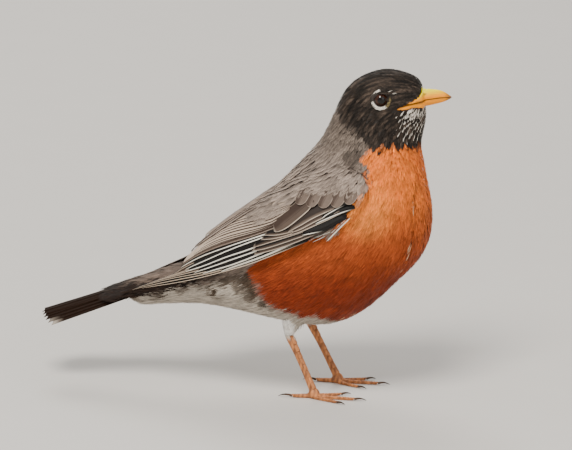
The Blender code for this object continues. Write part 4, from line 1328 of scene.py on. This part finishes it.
def add_bill(surface, horn):
    """Two mandibles with a hooked culmen, a fine gap at the mouth, and a nostril on each side."""
    tip = bill_tip()
    ahead = np.array([math.cos(HEAD_TURN), math.sin(HEAD_TURN), 0])
    left = np.array([-math.sin(HEAD_TURN), math.cos(HEAD_TURN), 0])
    rows = curve(BILL_ROWS, 70)
    for upper in (True, False):
        angles = np.linspace(0, math.pi, 33)
        distance, mouth = rows[:, 0], rows[:, 1]
        tall = rows[:, 2] if upper else rows[:, 3]
        half = rows[:, 4] * (1.0 if upper else 0.93)
        sign = 1 if upper else -1
        round_side = np.sign(np.cos(angles)) * np.abs(np.cos(angles)) ** 0.85
        across = half[:, None] * round_side
        height = np.sin(angles) ** (1.12 if upper else 0.9) * tall[:, None]
        ridge = 0.10 * np.exp(-((angles - math.pi / 2) / 0.16) ** 2) * np.minimum(tall, 3)[:, None]
        height = height + ridge
        if upper:
            slit = np.exp(-((distance - NOSTRIL_AT) / 1.2) ** 2)[:, None]
            both = (NOSTRIL_ANGLE, math.pi - NOSTRIL_ANGLE)
            slit = slit * sum(np.exp(-((angles - a) / 0.16) ** 2) for a in both)
            across = across * (1 - 0.16 * slit)
        gap = 0.1 if upper else 0.12
        z = tip[2] + mouth[:, None] + sign * (gap + height)
        outside = tip - ahead * distance[:, None, None] + left * across[..., None]
        outside[..., 2] = z
        for k in np.flatnonzero(distance > HUG_FROM):
            middle = tip - ahead * distance[k] + np.array([0, 0, mouth[k]])
            hug(surface, middle, outside[k], ramp(distance[k], HUG_FROM, 14.0))
        inner = outside.copy()
        inner[..., 2] = tip[2] + mouth[:, None] + sign * gap
        ring = np.concatenate([outside, inner[:, -2:0:-1]], axis=1)
        count, around = ring.shape[:2]
        index = np.arange(count * around).reshape(count, around)
        points = np.vstack([ring.reshape(-1, 3), [ring[0].mean(axis=0)], [ring[-1].mean(axis=0)]])
        caps = [
            np.stack([end, np.roll(end, -1), np.full(around, count * around + k)], axis=1)
            for k, end in enumerate((index[0], index[-1]))
        ]
        mesh = fill_mesh("bill", points, [round_quads(index), *caps])
        fix_winding(mesh)
        from_tip = (tip - points) @ ahead
        level = np.abs(points[:, 2] - tip[2] - np.interp(from_tip, distance[::-1], mouth[::-1]))
        # The top of the upper mandible is lighter yellow: a painted highlight.
        colour = mix(linear(BILL), linear(BILL_HIGHLIGHT), ramp(level, 1.0, 5.0) if upper else 0 * level)
        colour = mix(colour, linear(BILL_TIP), ramp(from_tip, 4.2, 0.4) * 0.8)
        colour = mix(colour, linear(BILL_EDGE), ramp(level, 0.42, 0.1) * 0.8)
        streak = 0.5 + 0.5 * mottle(points * (0.5, 1, 2.4), 2.4, 21)
        colour = mix(colour, linear(BILL_TIP), ramp(level, 1.5, 0.3) * streak * 0.45)
        if upper:
            # The dark nostril: painted shade in its opening.
            nostril = np.exp(-((from_tip - NOSTRIL_AT) / 1.1) ** 2)
            nostril = nostril * np.exp(-((level - 2.7) / 0.45) ** 2)
            colour = mix(colour, linear(NOSTRIL_SHADE), nostril * 0.8)
        add_tint(mesh, colour)
        name = "bill_upper" if upper else "bill_lower"
        finish_piece(mesh, name + "_horn", horn, [name])


class Eye:
    """Where one eye is and which way it looks."""

    def __init__(self, label):
        low, high = (np.array(corner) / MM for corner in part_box("eye_" + label))
        self.label = label
        self.radius = (high - low).min() / 2
        side = SIDES[label]
        look = np.array([EYE_LOOK[0], side * EYE_LOOK[1], 0.0])
        turn = np.array([[math.cos(HEAD_TURN), -math.sin(HEAD_TURN), 0],
                         [math.sin(HEAD_TURN), math.cos(HEAD_TURN), 0], [0, 0, 1]])
        self.look = unit(turn @ look)
        self.centre = (low + high) / 2 + turn @ (np.array(EYE_SHIFT) * (1, side, 1))
        ahead = turn @ np.array([1.0, 0, 0])
        self.ahead = unit(ahead - self.look * (ahead @ self.look))
        self.up = np.cross(self.look, self.ahead)
        self.up *= np.sign(self.up[2])

    def polar(self, points):
        """(distance from the line of sight, angle from straight ahead, height along it)."""
        out = points - self.centre
        x, y = out @ self.ahead, out @ self.up
        return np.hypot(x, y), np.arctan2(y, x), out @ self.look


def add_eye(eye, wet):
    """The ball with its iris and pupil, and a clear bulge over them."""
    rings, segments = 40, 64
    polar_angle = np.linspace(0, math.radians(100), rings)
    turn = np.linspace(0, 2 * math.pi, segments, endpoint=False)
    bulge = 0.30 * ramp(polar_angle, math.radians(46), math.radians(10))
    radius = eye.radius + bulge
    across = radius * np.sin(polar_angle)
    points = (
        eye.centre
        + eye.look * (radius * np.cos(polar_angle))[:, None, None]
        + (across[:, None] * np.cos(turn))[..., None] * eye.ahead
        + (across[:, None] * np.sin(turn))[..., None] * eye.up
    )
    index = np.arange(rings * segments).reshape(rings, segments)
    back = index[-1][::-1].reshape(1, -1)
    mesh = fill_mesh("eye", points.reshape(-1, 3), [round_quads(index), back])
    fix_winding(mesh)
    spokes = 0.75 + 0.35 * mottle(np.stack([turn * 9, 0 * turn, 0 * turn], axis=1), 4.0, 31)
    iris = linear(IRIS) * spokes[None, :, None]
    degrees_out = np.degrees(polar_angle)[:, None] * np.ones((1, segments))
    colour = mix(linear(PUPIL), iris, ramp(degrees_out, 25, 28))
    colour = mix(colour, linear(EYE_RIM), ramp(degrees_out, 42, 52))
    add_tint(mesh, colour.reshape(-1, 3))
    finish_piece(mesh, f"eyeball_{eye.label}", wet, [f"eye_{eye.label}"])


def lid_arrays(eye):
    """A lid margin: a thin roll of bare skin round the eye, drawn out a little at both corners."""
    turn = np.linspace(0, 2 * math.pi, LID_STEPS, endpoint=False)
    corner = 1 + 0.10 * np.maximum(0, np.cos(2 * turn)) ** 6 - 0.04 * np.sin(turn) ** 2
    radius = LID_RADIUS * corner
    height = np.sqrt(np.maximum(eye.radius**2 - radius**2, 0.5)) + 0.12
    tube = np.linspace(0, 2 * math.pi, LID_SIDES, endpoint=False)
    thick = 0.30
    across = radius[:, None] + thick * np.cos(tube)
    along = height[:, None] + thick * 1.1 * np.sin(tube)
    points = (
        eye.centre
        + (across * np.cos(turn)[:, None])[..., None] * eye.ahead
        + (across * np.sin(turn)[:, None])[..., None] * eye.up
        + along[..., None] * eye.look
    )
    index = np.arange(LID_STEPS * LID_SIDES).reshape(LID_STEPS, LID_SIDES)
    return points.reshape(-1, 3), round_quads(index, join_rows=True)


def ring_paint(eye):
    """White arcs above-behind and below the eye; between them a thin, dull, yellowish line."""

    def paint(path, places, points):
        radius, angle, _ = eye.polar(path[:, 0])
        turn = np.degrees(angle) % 360
        upper = ramp(turn, 88, 100) * ramp(turn, 156, 142)
        lower = ramp(turn, 184, 200) * ramp(turn, 316, 304)
        ragged = radius + random.uniform(-0.35, 0.35, len(radius))
        wide = ramp(turn, 225, 245) * ramp(ragged, 4.6, 4.3)
        lower = lower * np.maximum(ramp(ragged, 4.2, 4.0), wide)
        inner = ramp(radius, 3.9, 3.75)
        front = np.maximum(ramp(turn, 80, 50), ramp(turn, 300, 316)) * inner
        colour = mix(linear(HOOD), linear(EYE_RING_DULL), 0.7 * front)
        white = np.maximum(upper * (1 - 0.7 * inner), lower)
        colour = mix(colour, linear(EYE_RING), white)
        own = random.uniform(0.45, 1.12, (*places.shape[:2], 1, 1))
        return colour[:, None, None] * own * np.ones_like(places[..., :1])

    return paint


class Turned:
    """The lie of the coat where feathers point in directions of their own."""

    def __init__(self, lie, directions):
        self.unwrap, self.directions = lie.unwrap, directions

    def along(self, points, normals):
        return flat_on(normals, self.directions(points))


def away_from(eye):
    """Directions away from an eye, and a little backwards."""

    def directions(points):
        out = points - eye.centre
        return unit(out - eye.look * (out @ eye.look)[:, None]) * 0.8 - eye.ahead * 0.55

    return directions


def downward(points):
    """Directions down the leg."""
    return np.tile(unit(np.array([-0.15, 0, -1.0])), (len(points), 1))


def add_eye_ring(eye, surface, lie, fabric):
    """Three close rows of the smallest feathers, on the lid's outer side."""
    rows = []
    for radius, count in ((3.65, 46), (4.0, 50), (4.35, 54)):
        turn = np.linspace(0, 2 * math.pi, count, endpoint=False) + radius
        height = math.sqrt(eye.radius**2 - LID_RADIUS**2) - 0.3 * (radius - LID_RADIUS)
        rows.append(
            eye.centre + eye.look * height
            + radius * (np.cos(turn)[:, None] * eye.ahead + np.sin(turn)[:, None] * eye.up)
        )
    roots = np.vstack(rows)
    every = np.ones(len(roots))
    size = {**SOFT, "strands": 5, "root": 0.10, "tip": 0.28, "width": 0.28 * every,
            "depth": 0.25 * every}
    add_tufts(f"eye_ring_{eye.label}", surface, Turned(lie, away_from(eye)), roots, 1.15 * every,
              size, ring_paint(eye), fabric, ["head"])


# ---------------------------------------------------------------- skin and legs


def coat_depth(points, run):
    """How far the skin lies under the feather tips: least on the face, none on the legs."""
    body = 0.55 + 1.5 * ramp(run, 8, 70)
    legs = ramp(points[:, 2], 36, 29) * ramp(points[:, 0], 0, 10)
    return body * (1 - legs)


def leg_colour(points):
    """Orange legs with long dark streaks."""
    streaks = 0.5 + 0.5 * mottle(points * (1, 1, 0.35), 2.2, 41)
    return mix(linear(LEG), linear(LEG_DARK), 0.25 + 0.6 * streaks)


def add_skin(lie, eyes, fabric):
    """The one skin: flesh drawn in by the coat's depth, with the coat's markings and their painted
    light and shade, and the lids.
    """
    mesh = envelope(BODY + LEGS + EYES, GROW, 0.5, 3)
    points, normals = points_of(mesh)
    depth = coat_depth(points, lie.at(points)[0])
    points = points - normals * (GROW + depth)[:, None]
    for eye in eyes:
        away, _, height = eye.polar(points)
        near = (height > 0) & (away < EYE_HOLLOW)
        under = np.interp(away, (0, 3.0, 3.5, 4.4, EYE_HOLLOW), (1.0, 1.4, 2.2, 2.1, 0.9))
        share = ramp(away, EYE_HOLLOW, 4.2) * near
        points = points + eye.look * ((under - height) * share)[:, None]
    quads = read(mesh.loops, "vertex_index", 1, int).reshape(-1, 4)
    bpy.data.meshes.remove(mesh)
    bare = ramp(points[:, 2], 31, 28) * ramp(points[:, 0], -5, 5)
    colours = mix(markings_with_painted_light(points), leg_colour(points), bare)
    lids = [lid_arrays(eye) for eye in eyes]
    lid_colours = [np.tile(linear(LID), (len(lid), 1)) for lid, _ in lids]
    points, quads = merge([(points, quads), *lids])
    skin = fill_mesh("skin", points, [quads])
    add_tint(skin, np.vstack([colours, *lid_colours]))
    fix_winding(skin)
    finish_piece(skin, "skin", fabric, BODY + LEGS)


def tube_frame(points):
    """(start, end, radius) of a long node: its ends along its longest direction."""
    middle = points.mean(axis=0)
    way = np.linalg.svd(points - middle)[2][0]
    run = (points - middle) @ way
    radius = np.linalg.norm(points - middle - run[:, None] * way, axis=1)
    return middle + way * run.min(), middle + way * run.max(), np.median(radius)


SCUTE_LENGTH = 1.35  # on the toes


def foot_middle(label):
    """The middle of a foot's ball, where its toes meet."""
    return np.mean([np.array(c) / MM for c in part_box("foot_" + label)], axis=0)


def add_scutes(label, fabric):
    """Overlapping plates down the front of the leg and along the top of each toe."""
    group = Feathers()
    ball = foot_middle(label)

    def plate(start, end, front, radius, first, last, reach):
        """One plate on the front of a tube, from first to last along it."""
        way = unit(end - start)
        side = unit(np.cross(way, front))
        face = np.cross(side, way)
        angles = np.linspace(-reach, reach, 9)
        v = np.array([0, 0.5, 0.9, 1.0])
        lift = np.array([0.02, 0.10, 0.20, 0.06])
        spot = start + way * (first + (last - first) * v)[:, None]
        ring = side * np.sin(angles)[:, None] + face * np.cos(angles)[:, None]
        upper = spot[:, None] + ring[None] * (radius + lift)[:, None, None]
        lower = spot[:, None] + ring[None] * (radius - 0.15)
        colours = leg_colour(upper.reshape(-1, 3)).reshape(*upper.shape)
        colours = colours * np.array([0.75, 1.0, 1.1, 0.8])[:, None, None]
        group.add(upper, lower, colours, v, np.linspace(0, 1, 9), 0.5)

    for toe in TOES:
        start, end, radius = tube_frame(node_arrays(f"toe_{toe}_{label}")[0])
        if np.linalg.norm(start - ball) > np.linalg.norm(end - ball):
            start, end = end, start
        length = np.linalg.norm(end - start)
        count = int(round(length / SCUTE_LENGTH))
        for k in range(count):
            thin = 1 - 0.25 * (k + 0.5) / count
            first = length * k / count
            plate(start, end, np.array([0, 0, 1.0]), radius * thin + 0.05, first,
                  first + length / count * 1.18, 1.25)
    points = node_arrays("tarsus_" + label)[0]
    z = points[:, 2]
    start = points[z > z.max() - 1.5].mean(axis=0)
    end = points[z < z.min() + 2.5].mean(axis=0)
    length = np.linalg.norm(end - start)
    edges = np.linspace(0, 1, 9) ** 0.9 * length
    for first, last in zip(edges[:-1], edges[1:]):
        wide = np.interp(first / length, (0, 0.3, 0.8, 1), (1.9, 1.62, 1.62, 1.9))
        plate(start, end, np.array([1.0, 0, 0.3]), wide, first, last + 0.5, 1.35)
    mesh = group.mesh("scutes")
    add_uv(mesh, "OFBake", np.vstack(group.places))
    fix_winding(mesh)
    nodes = [f"tarsus_{label}", *(f"toe_{toe}_{label}" for toe in TOES)]
    finish_piece(mesh, f"scutes_{label}", fabric, nodes)


def add_claws(horn):
    """Curved claws, darker to the tip."""
    for label in SIDES:
        for toe in TOES:
            name = f"claw_{toe}_{label}"
            mesh = envelope([name], 0.02, 0.14, 3)
            reach = np.linalg.norm(points_of(mesh)[0] - foot_middle(label), axis=1)
            share = ramp(reach, reach.min(), reach.max())
            add_tint(mesh, mix(linear(CLAW), linear(CLAW_TIP), share))
            finish_piece(mesh, name + "_horn", horn, [name])


# ---------------------------------------------------------------- the coat


def nearest_node(points, nodes):
    """The CAD node nearest to each point, as an index into the list."""
    best, owner = np.full(len(points), 1e9), np.zeros(len(points), int)
    for i, name in enumerate(nodes):
        p, f = node_arrays(name)
        tree = BVHTree.FromPolygons(p.tolist(), f.tolist())
        gap = np.array([tree.find_nearest(q)[3] for q in points.tolist()])
        owner = np.where(gap < best, i, owner)
        best = np.minimum(best, gap)
    return owner


# Scapulars and small coverts end here on the wing, in the side view.
SCAPULAR_AREA = [
    (2, 92), (9.4, 90.6), (14, 90.4), (23, 94), (27, 99.5), (32, 103.6), (40, 105.6), (48, 106.5),
    (56, 106.8), (62, 104.8), (68, 100.6), (90, 100), (90, 130), (-10, 130), (-10, 92),
]


BODY_SPACING, FACE_SPACING, THIGH_SPACING = 1.45, 0.95, 1.3  # from tuft to tuft
FACE_END, FACE_OVERLAP = 22, 1.5  # along the middle line, from the bill's base
THIGH_END = 30.5  # the z where the bare leg starts
INNER_WING = 12  # nearer to the middle than this, the back's feathers cover the wing's top
HORN_GAP = 1.6  # no tuft grows nearer to the bill's horn than this, unless it is outside it


def coat_length(run):
    """Feather length: short on the face, longest on the belly and at the vent."""
    return np.clip(2.0 + 0.085 * run, 2.0, 11.5)


def add_back(guide, lie, where, down):
    """Closer feathers of nape, mantle, scapulars and rump, larger towards the tail."""
    run, x = lie.at(guide.points)[0], guide.points[:, 0]
    wing, body = where["wing"], ~where["wing"]
    groups = [  # name, which, spacing, spread of the tips, lift of the tips, length
        ("nape", body & (run < 50), 1.35, 0.17, 0.0, 0.9),
        ("mantle", body & (run >= 50) & (x > -6), 2.2, 0.22, 0.1, 1.0),
        ("rump", body & (x <= -6), 2.2, 0.20, 0.1, 1.0),
        ("lesser_coverts", wing & (x >= 38), 1.7, 0.20, 0.5, 0.95),
        ("scapulars", wing & (x < 38), 3.0, 0.25, 0.6, 1.1),
    ]
    for name, which, spacing, spread, lift, long in groups:
        roots = scatter(guide, spacing, where["back"] & which)
        along = lie.at(roots)[0]
        uneven = random.uniform(0.92, 1.08, len(roots))
        lengths = np.clip(1.6 + 0.092 * along, 3.5, 12.5) * uneven * long
        size = {**(SOFT if name == "nape" else FIRM), "strands": 7 if name == "nape" else 13,
                "root": 0.07, "tip": spread, "lift": lift, "depth": 0.3 + 0.09 * lengths,
                "width": 0.2 + 0.030 * lengths}
        add_tufts("coat_" + name, guide, lie, roots, lengths, size, BackPaint(lie), down, TORSO)


def add_coat(guide, fine, lie, eyes, bill, down):
    """All body feathers, on the parts of the envelope that no flight feather covers."""
    names = np.array(FEATHERED)[nearest_node(guide.points, FEATHERED)]
    run = lie.at(guide.points)[0]
    seen = right_side(guide.points)
    wing, leg = np.char.startswith(names, "wing"), np.char.startswith(names, "thigh")
    tail, head = names == "tail", names == "head"
    x, z, up = guide.points[:, 0], guide.points[:, 2], guide.normals[:, 2]
    breast, under = inside(ORANGE_AREA, seen), inside(UNDERTAIL_AREA, seen)
    reach = lie.along(guide.points, guide.normals) * (0.8 * coat_length(run))[:, None]
    covered = inside(SCAPULAR_AREA, right_side(guide.points + reach)) > 0
    inner = (up > 0.7) & (x > -5) & (np.abs(guide.points[:, 1]) < INNER_WING)
    covered = wing & (covered | inner)
    below_face = run > FACE_END
    back = (covered | ~wing) & ~leg & below_face & (breast < -0.8) & (under < -1.5)
    back &= ~tail | ((up > 0.2) & (x > -60))
    back &= ~head | (inside(HOOD_AREA, seen) < -1)
    loose = (~wing | (breast > -0.8) & (x > 50)) & ~back & ~leg & below_face
    loose &= ~tail | ((up < 0) & (x > -57))
    add_back(guide, lie, {"back": back, "wing": wing}, down)

    paint = PlumagePaint(lie)
    roots = scatter(guide, BODY_SPACING, loose)
    lengths = coat_length(lie.at(roots)[0]) * random.uniform(0.85, 1.15, len(roots))
    size = {**SOFT, "strands": 9, "root": 0.06, "tip": 0.17, "width": 0.20 + 0.030 * lengths,
            "depth": 0.35 + 0.13 * lengths}
    add_tufts("coat_body", guide, lie, roots, lengths, size, paint, down, TORSO)

    # The face, apart from the eyes' surroundings and the skin behind the bill's horn.
    bare = lie.at(fine.points)[0] > FACE_END + FACE_OVERLAP
    for eye in eyes:
        away, _, height = eye.polar(fine.points)
        bare |= (height > 0) & (away < 4.5)
    roots = scatter(fine, FACE_SPACING, ~bare)
    found = [bill.find_nearest(p) for p in roots.tolist()]
    spots, normals = (np.array([f[k][:] for f in found]) for k in (0, 1))
    gap = np.linalg.norm(roots - spots, axis=1)
    roots = roots[(gap > HORN_GAP) | (((roots - spots) * normals).sum(axis=1) > 0.1)]
    lengths = coat_length(lie.at(roots)[0]) * random.uniform(0.85, 1.15, len(roots))
    size = {**SOFT, "strands": 7, "root": 0.10, "tip": 0.20, "width": 0.16 + 0.05 * lengths,
            "depth": 0.15 + 0.10 * lengths}
    add_tufts("coat_head", fine, lie, roots, lengths, size, paint, down, ["head"])

    roots = scatter(guide, THIGH_SPACING, leg & (z > THIGH_END))
    every = np.ones(len(roots))
    lengths = 4.2 * random.uniform(0.8, 1.2, len(roots))
    size = {**SOFT, "strands": 7, "root": 0.08, "tip": 0.2, "width": 0.35 * every,
            "depth": 0.5 * every}

    def thigh_paint(path, places, points):
        own = random.uniform(0.86, 1.1, (*places.shape[:2], 1, 1))
        # Darker towards the root: partly the feathers' grey bases, partly painted shade under the
        # coat above.
        along = 0.85 + 0.15 * places[..., 1:2]
        return linear(THIGH) * own * along

    add_tufts("coat_thighs", guide, Turned(lie, downward), roots, lengths, size, thigh_paint,
              down, THIGHS)


# ---------------------------------------------------------------- camera, floor and light

VIEW_AZIMUTH, VIEW_ELEVATION = math.radians(12), math.radians(14)
VIEW_DISTANCE = 3.0
VIEW_WIDTH = 0.2803  # metres across the picture at the bird
VIEW_MIDDLE = (0.0434, 0, 0)
VIEW_LEFT, VIEW_UP = 0.02156, 0.0811  # the picture's middle, seen from there
SENSOR = 36
FLOOR_HALF = 6000  # millimetres
FLOOR_DEPTH = 0.05
LIGHT_TARGET = (0.02, 0, 0.09)
LIGHTS = [  # name, place, size, power, colour
    ("key", (-0.1, -1.0, 1.5), 0.7, 34, (1.0, 0.955, 0.89)),
    ("fill", (1.1, -0.8, 0.6), 1.2, 5, (1.0, 0.97, 0.94)),
    ("rim", (-0.5, 1.2, 1.2), 0.8, 14, (1.0, 0.97, 0.93)),
]


def add_camera():
    """The photograph's view, from far off."""
    sin_a, cos_a = math.sin(VIEW_AZIMUTH), math.cos(VIEW_AZIMUTH)
    sin_e, cos_e = math.sin(VIEW_ELEVATION), math.cos(VIEW_ELEVATION)
    back = Vector((sin_a * cos_e, -cos_a * cos_e, sin_e))
    right = Vector((cos_a, sin_a, 0))
    up = Vector((-sin_a * sin_e, cos_a * sin_e, cos_e))
    data = bpy.data.cameras.new("camera")
    camera = link("camera", data)
    target = Vector(VIEW_MIDDLE) - right * VIEW_LEFT + up * VIEW_UP
    camera.location = target + back * VIEW_DISTANCE
    camera.rotation_mode = "QUATERNION"
    camera.rotation_quaternion = (-back).to_track_quat("-Z", "Y")
    data.sensor_width = SENSOR
    data.lens = SENSOR * VIEW_DISTANCE / VIEW_WIDTH
    data.clip_end = 50
    bpy.context.scene.camera = camera


def add_light(name, place, size, power, colour):
    """A round soft light that looks at the bird."""
    data = bpy.data.lights.new(name, "AREA")
    data.shape = "DISK"
    data.size = size
    data.energy = power
    data.color = colour
    light = link(name, data)
    light.location = place
    light.rotation_mode = "QUATERNION"
    light.rotation_quaternion = (Vector(LIGHT_TARGET) - Vector(place)).to_track_quat("-Z", "Y")


def add_studio():
    """A plain pale floor, an even sky and three soft lights."""
    corners = np.array([(-1, -1, 0), (1, -1, 0), (1, 1, 0), (-1, 1, 0)]) * FLOOR_HALF
    mesh = fill_mesh("floor", corners - (0, 0, FLOOR_DEPTH), [np.array([[0, 1, 2, 3]])])
    mesh.materials.append(floor_material())
    link("floor", mesh)
    world = bpy.data.worlds.new("studio")
    world.use_nodes = True
    sky = world.node_tree.nodes["Background"]
    sky.inputs["Color"].default_value = (1.0, 0.985, 0.96, 1)
    sky.inputs["Strength"].default_value = 0.6
    bpy.context.scene.world = world
    for light in LIGHTS:
        add_light(*light)


def main():
    lie = Lie()
    guide = Surface(envelope(FEATHERED, GROW, 1.0, 6))
    fine = Surface(envelope(["head", "neck"] + EYES, GROW, 0.55, 6))
    wing_guides = {side: Surface(envelope(WINGS[side], GROW, 0.9, 10)) for side in SIDES}
    eyes = [Eye(label) for label in SIDES]

    down = down_material()
    firm = vane_material("flight feathers", 0.5, 0.22)
    add_skin(lie, eyes, skin_material("skin"))
    add_bill(fine, horn_material("bill", 0.38))
    add_claws(horn_material("claws", 0.42))
    wet = eye_material()
    halves = [Surface(bpy.data.objects[f"bill_{half}_horn"].data) for half in ("upper", "lower")]
    points, faces = merge([(half.points, half.faces) for half in halves])
    bill = BVHTree.FromPolygons(points.tolist(), faces.tolist())
    scales = skin_material("leg scales")
    for eye in eyes:
        add_eye(eye, wet)
        add_eye_ring(eye, fine, lie, down)
    add_coat(guide, fine, lie, eyes, bill, down)
    for label, side in SIDES.items():
        add_wing_bed(label, firm)
        add_wing_feathers(label, side, wing_guides[label], firm, WINGS[label])
        add_scutes(label, scales)
    add_tail_feathers(vane_material("tail feathers", 0.6, 0.05))
    add_camera()
    add_studio()


main()
